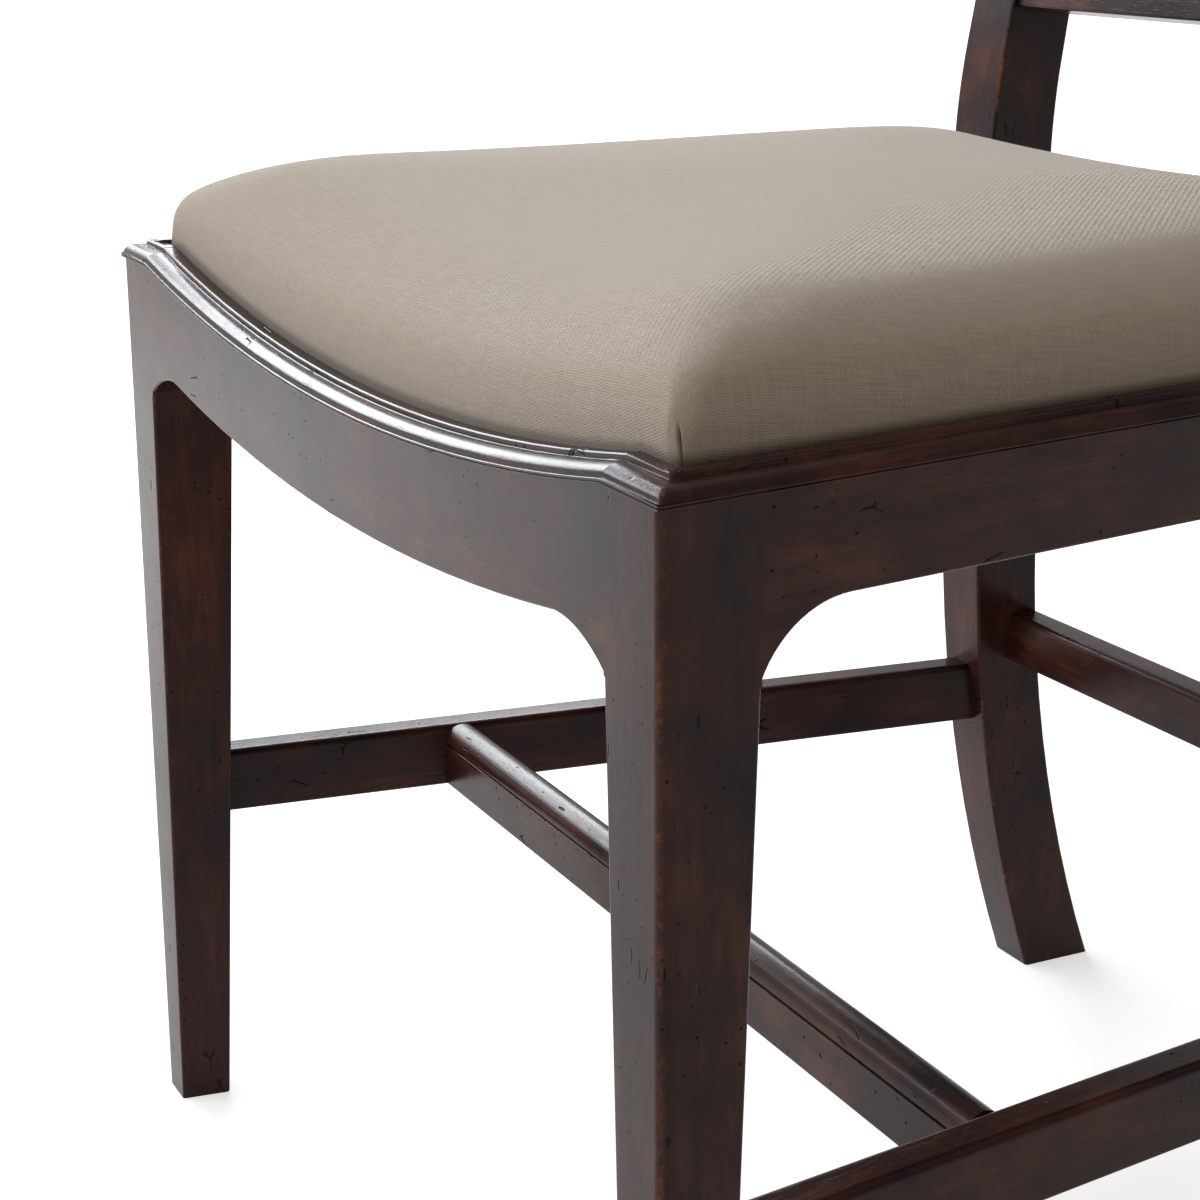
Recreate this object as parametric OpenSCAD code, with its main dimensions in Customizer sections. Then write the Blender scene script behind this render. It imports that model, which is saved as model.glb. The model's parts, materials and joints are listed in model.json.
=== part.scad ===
// Trellis back side chair: a dished slip seat in a moulded mahogany frame, square
// tapered front legs, sabre rear legs, an H stretcher and a diagonal lattice back.
// Lengths are in millimetres. The chair stands on z = 0 and faces -Y, and its origin
// is on the floor under the middle of its overall box. Right is +X.

/* [Seat plan] */
// Width across the outer faces of the front legs
seat_front_w = 560; // [500:5:640]
// Width across the outer faces of the rear legs
seat_rear_w = 445; // [400:5:480]
// Depth from the front face of the front legs to the front face of the rear legs
seat_d = 437; // [380:1:480]
// Height of the lower edge of the moulding round the seat
moulding_z = 436; // [420:1:450]
// Dip of the front rail and of the front of the seat in their middle
seat_dip = 22; // [12:1:26]
// Dip of the rear rail and of the rear of the seat in their middle
rear_dip = 8.5; // [4:0.5:22]

/* [Rails] */
// Thickness of the front and side rails
rail_t = 22; // [20:0.5:26]
// Height of the front rail below the moulding
front_rail_h = 43; // [38:1:48]
// Height of the side rails below the moulding
side_rail_h = 36.5; // [33:0.5:42]
// Height of the rear rail below the moulding line
rear_rail_h = 46; // [40:1:55]
// Thickness of the rear rail
rear_rail_t = 34; // [31:0.5:36]
// Depth of the ledge that the seat rests on, below the top of the moulding
ledge_drop = 15; // [13:0.5:18]
// Height at which the brackets of the rails meet the legs
bracket_z = 375.5; // [370:0.5:380]
// Radius of the arch under each end of the side rails
side_arch_r = 38; // [32:1:44]
// Radius of the arch under each end of the front rail
front_arch_r = 58; // [50:1:68]

/* [Moulding] */
// Width of the moulding from the outer face inwards
mould_w = 14.5; // [12:0.5:16]
// Height of the moulding
mould_h = 8.6; // [7:0.1:11]
// How far the moulding stands proud of the rail
mould_lip = 1; // [0.4:0.1:1.6]

/* [Front legs] */
// Width of a front leg at the seat
front_leg_w = 38; // [35:0.5:42]
// Width of a front leg at the floor
front_foot_w = 24.5; // [20:0.5:32]

/* [Rear legs] */
// Width of a rear leg seen from the front
rear_leg_w = 36; // [33:0.5:40]
// Width of a rear leg at the floor and of a stile at its top
rear_tip_w = 30; // [26:0.5:32]
// Depth of a rear leg at the seat
rear_leg_d = 38.5; // [37:0.5:44]
// Depth of a rear leg at the floor
rear_foot_d = 43; // [38:0.5:48]
// Depth of a stile at its top and of the top rail
stile_top_d = 26; // [24:0.5:30]
// Distance that the foot of a rear leg sweeps back
sabre_kick = 47; // [30:1:60]
// Height at which the sweep of a rear leg starts
sabre_z = 280; // [250:1:320]
// Height of the bend between a rear leg and its stile
rake_z = 490; // [484:1:500]
// Lean of the back from upright in degrees
rake_angle = 11; // [8:0.5:13]
// Radius of the bend between a rear leg and its stile
rake_r = 380; // [300:10:400]

/* [Stretchers] */
// Thickness of the stretchers
stretcher_t = 18; // [16:0.5:21]
// Height of the side and cross stretchers
stretcher_h = 32; // [27:0.5:36]
// Height of the underside of the side and cross stretchers
stretcher_z = 155; // [130:1:180]
// Depth from the front face of the front legs to the cross stretcher
cross_y = 144; // [120:1:220]
// Height of the rear stretcher
rear_stretcher_h = 27; // [24:0.5:32]
// Height of the underside of the rear stretcher
rear_stretcher_z = 190; // [188:1:215]
// Rounding along the top of the side and rear stretchers
stretcher_round = 3.5; // [2:0.5:6]

/* [Back] */
// Length of the back from the bend to the middle of its top
back_len = 510; // [480:1:540]
// Height of the top rail in its middle
crest_h = 70; // [62:1:80]
// Rise of the top rail from its ends to its middle
crest_rise = 18; // [10:1:22]
// Distance from the bend to the underside of the lower back rail
low_rail_v = 56; // [50:1:70]
// Height of the lower back rail
low_rail_h = 32; // [27:1:38]
// Thickness of the lower back rail
low_rail_t = 20; // [18:0.5:21]
// Number of diamonds across the lattice
lattice_across = 4; // [3:1:5]
// Number of diamonds up the lattice
lattice_up = 4; // [3:1:4]
// Width of a lattice bar
bar_w = 13; // [10:0.5:15]
// Depth of a lattice bar
bar_d = 15; // [13:0.5:16]
// Distance of the lattice behind the face of the stiles
bar_set_back = 5; // [3:0.5:6]
// Depth of the lattice mortises
bar_tenon = 6; // [4:0.5:8]

/* [Slip seat] */
// Width of the members of the seat frame
member_w = 50; // [42:1:58]
// Thickness of the members of the seat frame
member_t = 16; // [14:0.5:18]
// Gap between the cover and the moulding
seat_gap = 1.4; // [1:0.1:2.5]
// Thickness of the cover fabric
cover_t = 0.8; // [0.6:0.1:1.2]
// Height of the middle of the cushion above the seat frame
crown_h = 62; // [45:1:68]
// Radius of the corners of the cushion
corner_r = 7; // [4:0.5:10]
// Width of the cover that is turned under the seat frame
turn_under = 14; // [10:1:20]
// Width of a webbing strap
strap_w = 50; // [40:1:54]
// Thickness of a webbing strap
strap_t = 1.6; // [1:0.1:2.5]
// Number of webbing straps
strap_count = 5; // [3:2:5]
// Thickness of the dust cover
dust_t = 0.6; // [0.4:0.1:1]

/* [Joints] */
// Thickness of the tenons
tenon_t = 8; // [6:0.5:9]
// Length of the tenons
tenon_len = 16; // [12:0.5:17]
// Distance of the tenons behind the outer face
tenon_set_back = 7; // [6:0.5:8]
// Shoulder above and below the tenons
tenon_shoulder = 6; // [5:0.5:8]
// Clearance of a tenon in its mortise
fit = 0.15; // [0.05:0.05:0.3]
// Radius of the dowels of the seat frame
dowel_r = 4; // [3:0.25:4.5]
// Length of the dowels of the seat frame
dowel_len = 44; // [36:1:50]
// Thickness of the corner blocks
block_t = 18; // [16:1:20]
// Length of the corner blocks along the rails
block_leg = 76; // [68:1:84]
// Radius of the shank of a screw
screw_r = 2.1; // [1.75:0.05:2.5]
// Radius of the head of a screw
screw_head_r = 4.2; // [3.6:0.1:5]
// Length of a screw that holds a corner block to a rail
block_screw_len = 32; // [28:1:36]

/* [Hidden] */
// The lattice has one bar for each line of diamonds in each direction
bar_count = lattice_across + lattice_up - 1;
bar_numbers = [1:bar_count];

// Colours of the finishes
mahogany = [0.21, 0.15, 0.14];
beech = [0.72, 0.56, 0.38];
steel = [0.62, 0.62, 0.6];
jute = [0.62, 0.5, 0.34];
cambric = [0.12, 0.12, 0.12];
foam_white = [0.9, 0.86, 0.74];
taupe = [0.68, 0.63, 0.57];

// Distance that a cut runs past the wood it cuts
overrun = 5;
// Distance that a tenon starts inside its rail
tenon_root = 20;
// Lift of one soft layer from the next
layer_gap = 0.3;
// Facets of a full circle on swept rails and on small round parts
sweep_fn = 720;
round_fn = 48;

half_w = seat_front_w / 2;
rear_half_w = seat_rear_w / 2;
splay = atan((half_w - rear_half_w) / seat_d);
// Widths of a front leg square to its faces
leg_n = front_leg_w * cos(splay);
foot_n = front_foot_w * cos(splay);

// Overall depth, and the place of the front faces that centres it
back_reach = seat_d + max(back_len * sin(rake_angle) + stile_top_d * cos(rake_angle),
                          sabre_kick + rear_foot_d);
front_y = mould_lip - (mould_lip + back_reach) / 2;
tall = moulding_z + rake_z + back_len;

ledge_z = moulding_z + mould_h - ledge_drop;
open_low = low_rail_v + low_rail_h;
open_high = back_len - crest_h;

// Radius of the dip and height of its centre, for a half span at a level height
function dip_radius(half, depth) = (half * half + depth * depth) / (2 * depth);
function dip_centre(half, r, level) = level + sqrt(r * r - half * half);
front_half = half_w - front_leg_w;
rear_half = rear_half_w - rear_leg_w;
front_r = dip_radius(front_half, seat_dip);
rear_r = dip_radius(rear_half, rear_dip);

// Half spans of the dip of the slip seat, clear of the legs at both ends
seat_front_half = front_half - leg_n * tan(splay) - seat_gap;
seat_rear_half = rear_half - seat_gap;
// Inset of the cover and of the seat frame from the outer faces
cover_in = mould_w + seat_gap;
frame_in = cover_in + cover_t + fit;
seat_back_y = seat_d - seat_gap;
frame_z = ledge_z + cover_t + 2 * fit;
frame_top = frame_z + member_t;
member_front_y = frame_in + member_w;
member_rear_y = seat_back_y - cover_t - fit - member_w;

// Height of the dished seat at a place, below its level edge
function dip_at(x, half, r) =
    abs(x) >= half ? 0 : sqrt(r * r - half * half) - sqrt(r * r - x * x);
function dish(x, y) =
    let (t = min(1, max(0, (y - member_front_y) / (member_rear_y - member_front_y))))
    (1 - t) * dip_at(x, seat_front_half, front_r) + t * dip_at(x, seat_rear_half, rear_r);

// Outline of the moulding from its outer lower edge to its inner top, as shares of
// its width and height
ovolo_steps = 6;
ovolo_shares = [for (i = [0:ovolo_steps]) let (a = 90 * i / ovolo_steps)
    [0.46 - 0.41 * cos(a), 0.235 + 0.5 * sin(a)]];
mould_shares = concat(
    [[0, 0], [0, 0.09], [0.05, 0.09], [0.05, 0.13], [0, 0.13], [0, 0.22]],
    ovolo_shares,
    [[0.56, 0.73], [0.62, 0.76], [0.62, 0.93], [0.66, 1], [0.96, 1], [1, 0.97]]);
mould_points = [for (s = mould_shares)
    [s[0] * (mould_w + mould_lip) - mould_lip, s[1] * mould_h]];

// Width of a front leg at a height, square to its faces, and of a rear leg
function front_leg_at(z) = foot_n + (leg_n - foot_n) * z / bracket_z;
function rear_leg_at(z) = rear_tip_w + (rear_leg_w - rear_tip_w) * z / sabre_z;

// A place in the plane of the back, from its bend: up the back and behind its face
function in_back_plane(up, behind) = [
    seat_d + up * sin(rake_angle) + behind * cos(rake_angle),
    rake_z + up * cos(rake_angle) - behind * sin(rake_angle)];
// The inner face of a stile at a distance up the back
stile_rise = rake_z + open_high * cos(rake_angle);
function stile_inner(up) =
    rear_half_w - rear_leg_w + (rear_leg_w - rear_tip_w) * up / open_high;

// Arc of radius r that rounds the corner b between a and c
function unit(v) = v / norm(v);
function round_corner(a, b, c, r, n) =
    let (ua = unit(a - b), uc = unit(c - b), w = acos(ua * uc),
         m = b + unit(ua + uc) * r / sin(w / 2),
         pa = b + ua * r / tan(w / 2), pc = b + uc * r / tan(w / 2),
         ta = atan2(pa[1] - m[1], pa[0] - m[0]),
         tc = atan2(pc[1] - m[1], pc[0] - m[0]),
         turn = (tc - ta + 540) % 360 - 180)
    [for (i = [0:n]) m + r * [cos(ta + turn * i / n), sin(ta + turn * i / n)]];

// Sweep of a rear leg's edge from the floor up to where it stands upright
sweep_steps = 12;
function sabre_edge(y, kick) =
    let (r = (sabre_z * sabre_z + kick * kick) / (2 * kick))
    [for (i = [0:sweep_steps]) let (z = sabre_z * i / sweep_steps)
        [y + r - sqrt(r * r - (sabre_z - z) * (sabre_z - z)), z]];

// Side view of a rear leg, from its foot up its front edge and down its back edge
bend_steps = 8;
bend_front = [seat_d, rake_z];
top_front = in_back_plane(open_high, 0);
top_back = in_back_plane(open_high, stile_top_d);
low_back = in_back_plane(0, rear_leg_d);
back_y = seat_d + rear_leg_d;
bend_share = (back_y - low_back[0]) / (top_back[0] - low_back[0]);
bend_back = low_back + (top_back - low_back) * bend_share;
rear_leg_outline = concat(
    sabre_edge(seat_d, sabre_kick),
    round_corner([seat_d, sabre_z], bend_front, top_front, rake_r, bend_steps),
    [top_front, top_back],
    round_corner(top_back, bend_back, [back_y, sabre_z], rake_r - rear_leg_d, bend_steps),
    [for (p = sabre_edge(back_y, sabre_kick + rear_foot_d - rear_leg_d)) [p[0], p[1]]]);
outline_steps = len(rear_leg_outline);
front_part = sweep_steps + bend_steps + 4;
// The back edge of the foot runs down, so its points are taken in reverse
rear_leg_points = concat(
    [for (i = [0:outline_steps - sweep_steps - 2]) rear_leg_outline[i]],
    [for (i = [0:sweep_steps]) rear_leg_outline[outline_steps - 1 - i]]);

// Everything is laid out from the middle of the front faces, and then centred
module placed() translate([0, front_y, 0]) children();

// Extrusions along Y of a drawing in X and Z, and along X of a drawing in Y and Z
module along_y(from, to) translate([0, to, 0]) rotate([90, 0, 0])
    linear_extrude(to - from) children();
module along_x(from, to) translate([from, 0, 0]) rotate([90, 0, 90])
    linear_extrude(to - from) children();

// The right side's own frame: X outwards from its face and Y back along it
module at_side() translate([half_w, 0, 0]) rotate([0, 0, splay]) children();
module both_sides() {
    children();
    mirror([1, 0, 0]) children();
}

// A sweep along a circle in a plane that faces the front: the drawing's X is the
// radius and its Y is the depth. It hangs below its centre, or stands above it.
module hanging_sweep(centre_z, spread) translate([0, 0, centre_z]) rotate([-90, 0, 0])
    rotate([0, 0, 90 - spread]) rotate_extrude(angle = 2 * spread, $fn = sweep_fn) children();
module standing_sweep(centre_z, spread) translate([0, 0, centre_z]) rotate([-90, 0, 0])
    rotate([0, 0, -90 - spread]) rotate_extrude(angle = 2 * spread, $fn = sweep_fn) children();

// The frame of the back: X across, Y behind the face of the stiles and Z up the back
module in_back() translate([0, seat_d, rake_z]) rotate([-rake_angle, 0, 0]) children();

// The space over the ledge, inside the moulding, that takes the slip seat
module seat_pocket() intersection() {
    at_side() translate([-seat_front_w, -seat_d, ledge_z])
        cube([seat_front_w - mould_w, 3 * seat_d, ledge_drop + overrun]);
    translate([-seat_front_w, mould_w, ledge_z])
        cube([2 * seat_front_w, 2 * seat_d, ledge_drop + overrun]);
}

// The space between the inner side faces of the two front legs
module between_front_legs() intersection() {
    at_side() translate([-2 * seat_front_w, -seat_d, 0])
        cube([2 * seat_front_w - leg_n, 3 * seat_d, tall]);
    mirror([1, 0, 0]) at_side() translate([-2 * seat_front_w, -seat_d, 0])
        cube([2 * seat_front_w - leg_n, 3 * seat_d, tall]);
}

// Tenons, grown by a clearance to cut their mortises. All are on the right side.
rail_tenon_z = moulding_z - side_rail_h + tenon_shoulder / 2;
rail_tenon_h = ledge_z - tenon_shoulder - rail_tenon_z;
module front_rail_tenon(grow = 0)
    translate([front_half - tenon_root, tenon_set_back - grow, rail_tenon_z - grow])
        cube([tenon_root + tenon_len + grow, tenon_t + 2 * grow, rail_tenon_h + 2 * grow]);
module side_rail_tenon_front(grow = 0) at_side()
    translate([-tenon_set_back - tenon_t - grow, leg_n - tenon_len - grow, rail_tenon_z - grow])
        cube([tenon_t + 2 * grow, tenon_root + tenon_len, rail_tenon_h + 2 * grow]);
module side_rail_tenon_rear(grow = 0) at_side()
    translate([-tenon_set_back - tenon_t - grow, seat_d / cos(splay) - tenon_root,
               rail_tenon_z - grow])
        cube([tenon_t + 2 * grow, tenon_root + tenon_len + grow, rail_tenon_h + 2 * grow]);
rear_tenon_z = moulding_z - rear_rail_h + tenon_shoulder;
module rear_rail_tenon(grow = 0)
    translate([rear_half - tenon_root, seat_d + tenon_set_back - grow, rear_tenon_z - grow])
        cube([tenon_root + tenon_len + grow, tenon_t + 2 * grow,
              ledge_z - tenon_shoulder - rear_tenon_z + 2 * grow]);

// Side stretcher: its middle line runs from the middle of the front leg to the
// middle of the rear leg
stretcher_mid_z = stretcher_z + stretcher_h / 2;
stretcher_leg = front_leg_at(stretcher_mid_z) / 2;
stretcher_from = [half_w - stretcher_leg * (1 + sin(splay)) / cos(splay), stretcher_leg];
stretcher_to = [rear_half_w - rear_leg_at(stretcher_mid_z) / 2, seat_d + rear_leg_d / 2];
stretcher_run = norm(stretcher_to - stretcher_from);
stretcher_turn = atan((stretcher_from[0] - stretcher_to[0])
                      / (stretcher_to[1] - stretcher_from[1]));
module at_side_stretcher() translate([stretcher_from[0], stretcher_from[1], stretcher_z])
    rotate([0, 0, stretcher_turn]) children();
module side_stretcher_core(grow = 0) at_side_stretcher()
    translate([-tenon_t / 2 - grow, -grow, tenon_shoulder - grow])
        cube([tenon_t + 2 * grow, stretcher_run + 2 * grow,
              stretcher_h - 2 * tenon_shoulder + 2 * grow]);
module side_stretcher_envelope() at_side_stretcher()
    translate([-stretcher_t / 2, 0, 0]) cube([stretcher_t, stretcher_run, stretcher_h]);

// Cross stretcher: its tenons run two thirds into the side stretchers
cross_end = stretcher_from[0] - (cross_y + stretcher_t / 2 - stretcher_from[1]) * tan(stretcher_turn);
cross_tenon_end = cross_end + stretcher_t / 6;
module cross_stretcher_core(grow = 0)
    translate([-cross_tenon_end - grow, cross_y + (stretcher_t - tenon_t) / 2 - grow,
               stretcher_z + tenon_shoulder - grow])
        cube([2 * cross_tenon_end + 2 * grow, tenon_t + 2 * grow,
              stretcher_h - 2 * tenon_shoulder + 2 * grow]);

// Rear stretcher: its back is level with the backs of the rear legs
rear_stretcher_mid = rear_stretcher_z + rear_stretcher_h / 2;
rear_kick = sabre_kick + rear_foot_d - rear_leg_d;
rear_edge_r = (sabre_z * sabre_z + rear_kick * rear_kick) / (2 * rear_kick);
rear_stretcher_y = back_y + rear_edge_r - stretcher_t - mould_lip
    - sqrt(rear_edge_r * rear_edge_r - pow(sabre_z - rear_stretcher_mid, 2));
rear_stretcher_end = rear_half_w - rear_leg_w / 2;
module rear_stretcher_core(grow = 0)
    translate([-rear_stretcher_end - grow, rear_stretcher_y + (stretcher_t - tenon_t) / 2 - grow,
               rear_stretcher_z + tenon_shoulder - grow])
        cube([2 * rear_stretcher_end + 2 * grow, tenon_t + 2 * grow,
              rear_stretcher_h - 2 * tenon_shoulder + 2 * grow]);

// Lower back rail and the tenons at the tops of the stiles
low_rail_end = rear_half_w - rear_leg_w / 2;
low_rail_set_back = (stile_top_d - low_rail_t) / 2;
module low_rail_core(grow = 0) in_back()
    translate([-low_rail_end - grow, low_rail_set_back + (low_rail_t - tenon_t) / 2 - grow,
               low_rail_v + tenon_shoulder - grow])
        cube([2 * low_rail_end + 2 * grow, tenon_t + 2 * grow,
              low_rail_h - 2 * tenon_shoulder + 2 * grow]);
stile_tenon_w = rear_tip_w - 2 * tenon_shoulder;
module stile_tenon(grow = 0) in_back()
    translate([rear_half_w - rear_tip_w + tenon_shoulder - grow,
               (stile_top_d - tenon_t) / 2 - grow, open_high - tenon_root])
        cube([stile_tenon_w + 2 * grow, tenon_t + 2 * grow, tenon_root + tenon_len + grow]);

// Lattice: bars on the diagonals of a grid that fills the opening of the back
lattice_w = 2 * stile_inner((open_low + open_high) / 2);
cell_w = lattice_w / lattice_across;
cell_h = (open_high - open_low) / lattice_up;
bar_slope = atan(cell_h / cell_w);
module rising_strip(k, grow = 0, from = 0, to = bar_d) in_back()
    translate([(k - lattice_up) * cell_w - lattice_w / 2, 0, open_low])
        rotate([0, -bar_slope, 0])
            translate([-back_len, bar_set_back + from, -bar_w / 2 - grow])
                cube([3 * back_len, to - from, bar_w + 2 * grow]);
module lattice_field(grow = 0) in_back() rotate([90, 0, 0])
    translate([0, 0, -stile_top_d - overrun]) linear_extrude(stile_top_d + 2 * overrun)
        polygon([for (s = [[-1, 0], [1, 0], [1, 1], [-1, 1]])
            let (v = s[1] == 0 ? open_low - bar_tenon - grow : open_high + bar_tenon + grow)
            [s[0] * (stile_inner(v) + bar_tenon + grow), v]]);
module lattice_mortises() intersection() {
    lattice_field(fit);
    both_sides() for (k = bar_numbers) rising_strip(k, fit, -fit, bar_d + fit);
}
module rising_bar(k) difference() {
    intersection() {
        lattice_field();
        rising_strip(k);
    }
    mirror([1, 0, 0]) for (j = bar_numbers)
        rising_strip(j, fit, (bar_d - fit) / 2, bar_d + overrun);
}
module falling_bar(k) difference() {
    intersection() {
        lattice_field();
        mirror([1, 0, 0]) rising_strip(k);
    }
    for (j = bar_numbers) rising_strip(j, fit, -overrun, (bar_d + fit) / 2);
}

// Screws: a countersunk head and a plain shank, pointing along Z from the head
head_h = screw_head_r * 0.6;
module screw(run, grow = 0) {
    cylinder(h = head_h, r1 = screw_head_r + grow, r2 = screw_r + grow, $fn = round_fn);
    cylinder(h = run + grow, r = screw_r + grow, $fn = round_fn);
}
module screw_bore(run, back) {
    screw(run, fit);
    translate([0, 0, -back]) cylinder(h = back, r = screw_head_r + fit, $fn = round_fn);
}

// Corner blocks: a right angle against two rails, cut back across the corner.
// A screw goes into each rail, and one goes up into the seat frame.
block_share = 0.62;
block_screw_grip = block_screw_len - rail_t * 0.6;
function side_inner_x(y) = half_w - (rail_t + fit) / cos(splay) - y * tan(splay);
front_block_y = rail_t + fit;
rear_rail_y = seat_d - rear_rail_t + rear_leg_d * 0.6;
rear_block_y = rear_rail_y - fit;
front_block = [side_inner_x(front_block_y), front_block_y];
rear_block = [side_inner_x(rear_block_y), rear_block_y];
front_block_top = frame_z - layer_gap + dish(front_block[0] - block_leg, front_block_y);
rear_block_top = frame_z - layer_gap + dish(rear_block[0] - block_leg, rear_block_y);
function block_corner(corner, along) = [corner, corner - [block_leg, 0],
    corner + along * block_leg * [-sin(splay), cos(splay)]];
// Place of a seat screw from a block's corner, as a share of the way to its centre
front_screw_share = 1;
rear_screw_share = 0.5;
function block_point(corner, along, share) =
    let (p = block_corner(corner, along)) p[0] + (p[1] + p[2] - 2 * p[0]) * share / 3;
module block_body(corner, along, top) translate([0, 0, top - block_t])
    linear_extrude(block_t) polygon(block_corner(corner, along));
module at_block_screws(corner, along, top) translate([0, 0, top - block_t / 2]) {
    translate([corner[0] - block_leg * block_share, corner[1] + along * block_screw_grip, 0])
        rotate([90 * along, 0, 0]) children();
    translate([corner[0] - along * block_leg * block_share * sin(splay),
               corner[1] + along * block_leg * block_share * cos(splay), 0])
        rotate([0, 0, splay]) translate([-block_screw_grip, 0, 0]) rotate([0, 90, 0]) children();
}
seat_screw_len = block_t + member_t;
module at_seat_screw(corner, along, top)
    let (m = block_point(corner, along, along > 0 ? front_screw_share : rear_screw_share))
    translate([m[0], m[1], top - block_t]) children();
module all_blocks() {
    both_sides() {
        at_seat_screw(front_block, 1, front_block_top) children();
        at_seat_screw(rear_block, -1, rear_block_top) children();
    }
}
module corner_block(corner, along, top) difference() {
    block_body(corner, along, top);
    at_block_screws(corner, along, top) screw_bore(block_screw_len, block_leg);
    at_seat_screw(corner, along, top) screw(seat_screw_len, fit);
    leg_corner_room();
}
// The inner corner of the front leg with room round it
module leg_corner_room() intersection() {
    at_side() translate([-leg_n - fit, -overrun, 0])
        cube([leg_n + overrun, seat_d / 2, tall]);
    translate([0, -overrun, 0]) cube([seat_front_w, leg_n + fit + overrun, tall]);
}

// Soft parts are closed skins of rings that follow the plan of the seat. A ring has
// an inset from the outer faces, a corner radius and a height over the dished frame.
corner_steps = 4;
side_steps = 5;
across_steps = 9;
function corner_arc(x, y, r, from, to) = [for (i = [0:corner_steps])
    let (a = from + (to - from) * i / corner_steps) [x + r * cos(a), y + r * sin(a)]];
function between(p, q, n) = [for (i = [1:n - 1]) p + (q - p) * i / n];
function end_of(v) = v[len(v) - 1];
function seat_ring(inset, r) =
    let (yf = inset + r, yr = seat_back_y + cover_in - inset - r,
         x = half_w - (inset + r) / cos(splay),
         fr = corner_arc(x - yf * tan(splay), yf, r, -90, splay),
         rr = corner_arc(x - yr * tan(splay), yr, r, splay, 90),
         rl = corner_arc(yr * tan(splay) - x, yr, r, 90, 180 - splay),
         fl = corner_arc(yf * tan(splay) - x, yf, r, 180 - splay, 270))
    concat(fr, between(end_of(fr), rr[0], side_steps), rr,
           between(end_of(rr), rl[0], across_steps), rl,
           between(end_of(rl), fl[0], side_steps), fl,
           between(end_of(fl), fr[0], across_steps));
function ring_at(inset, r, z) = [for (p = seat_ring(inset, r)) [p[0], p[1], z + dish(p[0], p[1])]];
ring_count = 4 * (corner_steps + 1) + 2 * (side_steps + across_steps) - 4;
seat_mid_y = (cover_in + seat_back_y) / 2;
seat_half_d = (seat_back_y - cover_in) / 2;
module ring_skin(rings, first_z, last_z)
    let (n = ring_count, last = 1 + n * len(rings),
         points = concat([[0, seat_mid_y, first_z]], [for (r = rings) for (p = r) p],
                         [[0, seat_mid_y, last_z]]))
    polyhedron(points = points, faces = concat(
        [for (i = [0:n - 1]) [0, 1 + (i + 1) % n, 1 + i]],
        [for (k = [0:len(rings) - 2]) for (i = [0:n - 1])
            let (a = 1 + k * n + i, b = 1 + k * n + (i + 1) % n) [a, b, b + n]],
        [for (k = [0:len(rings) - 2]) for (i = [0:n - 1])
            let (a = 1 + k * n + i, b = 1 + k * n + (i + 1) % n) [a, b + n, a + n]],
        [for (i = [0:n - 1]) let (a = last - n + i, b = last - n + (i + 1) % n) [a, b, last]]));

// Crown of the cushion from its middle to its edge: inset as a share of half the seat's
// depth, and height as a share of the crown
crown_shares = [[0.84, 0.988], [0.66, 0.952], [0.46, 0.888], [0.31, 0.822], [0.195, 0.745],
                [0.112, 0.65], [0.059, 0.555], [0.028, 0.465], [0.0108, 0.375],
                [0.0029, 0.27], [0.0006, 0.15]];
// Corner radius of a ring: sharp at the lower edge and rounder with the height, as far as
// the ring has room for it
corner_growth = 0.73;
corner_power = 1.5;
corner_room = 0.7;
function crown_r(s) = min(corner_r + corner_growth * crown_h * pow(s[1], corner_power),
                          corner_room * (1 - s[0]) * seat_half_d);
function crown_ring(s, thin, z) =
    let (inset = s[0] * seat_half_d)
    ring_at(cover_in + inset + thin, crown_r(s), z + s[1] * crown_h - thin);
function crown_rings(thin, z) = [for (s = crown_shares) crown_ring(s, thin, z)];
function reversed(v) = [for (i = [1:len(v)]) v[len(v) - i]];
crown_pole = dish(0, seat_mid_y) + crown_h;

// A thin sheet that follows the dish, with its half widths at its front and rear, the
// number of steps across half of it and its places from front to rear
module dished_sheet(mid, half_front, half_rear, steps, places, low, thick)
    let (shares = [for (i = [-steps:steps]) i / steps], nx = len(shares), ny = len(places),
         y0 = places[0], run = places[ny - 1] - places[0],
         skin = [for (lift = [low + thick, low]) for (y = places) for (s = shares)
             let (x = mid + s * (half_front + (half_rear - half_front) * (y - y0) / run))
             [x, y, lift + dish(x, y)]],
         b = nx * ny)
    polyhedron(points = skin, faces = concat(
        [for (j = [0:ny - 2]) for (i = [0:nx - 2]) let (a = j * nx + i) [a, a + nx, a + nx + 1]],
        [for (j = [0:ny - 2]) for (i = [0:nx - 2]) let (a = j * nx + i) [a, a + nx + 1, a + 1]],
        [for (j = [0:ny - 2]) for (i = [0:nx - 2]) let (a = b + j * nx + i) [a, a + nx + 1, a + nx]],
        [for (j = [0:ny - 2]) for (i = [0:nx - 2]) let (a = b + j * nx + i) [a, a + 1, a + nx + 1]],
        [for (i = [0:nx - 2]) [b + i, i, i + 1]],
        [for (i = [0:nx - 2]) [b + i, i + 1, b + i + 1]],
        [for (i = [0:nx - 2]) let (a = b - nx + i) [b + a, a + 1, a]],
        [for (i = [0:nx - 2]) let (a = b - nx + i) [b + a, b + a + 1, a + 1]],
        [for (j = [0:ny - 2]) let (a = j * nx) [b + a, b + a + nx, a]],
        [for (j = [0:ny - 2]) let (a = j * nx) [b + a + nx, a + nx, a]],
        [for (j = [0:ny - 2]) let (a = j * nx + nx - 1) [b + a, a, b + a + nx]],
        [for (j = [0:ny - 2]) let (a = j * nx + nx - 1) [b + a + nx, a, a + nx]]));

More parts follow.
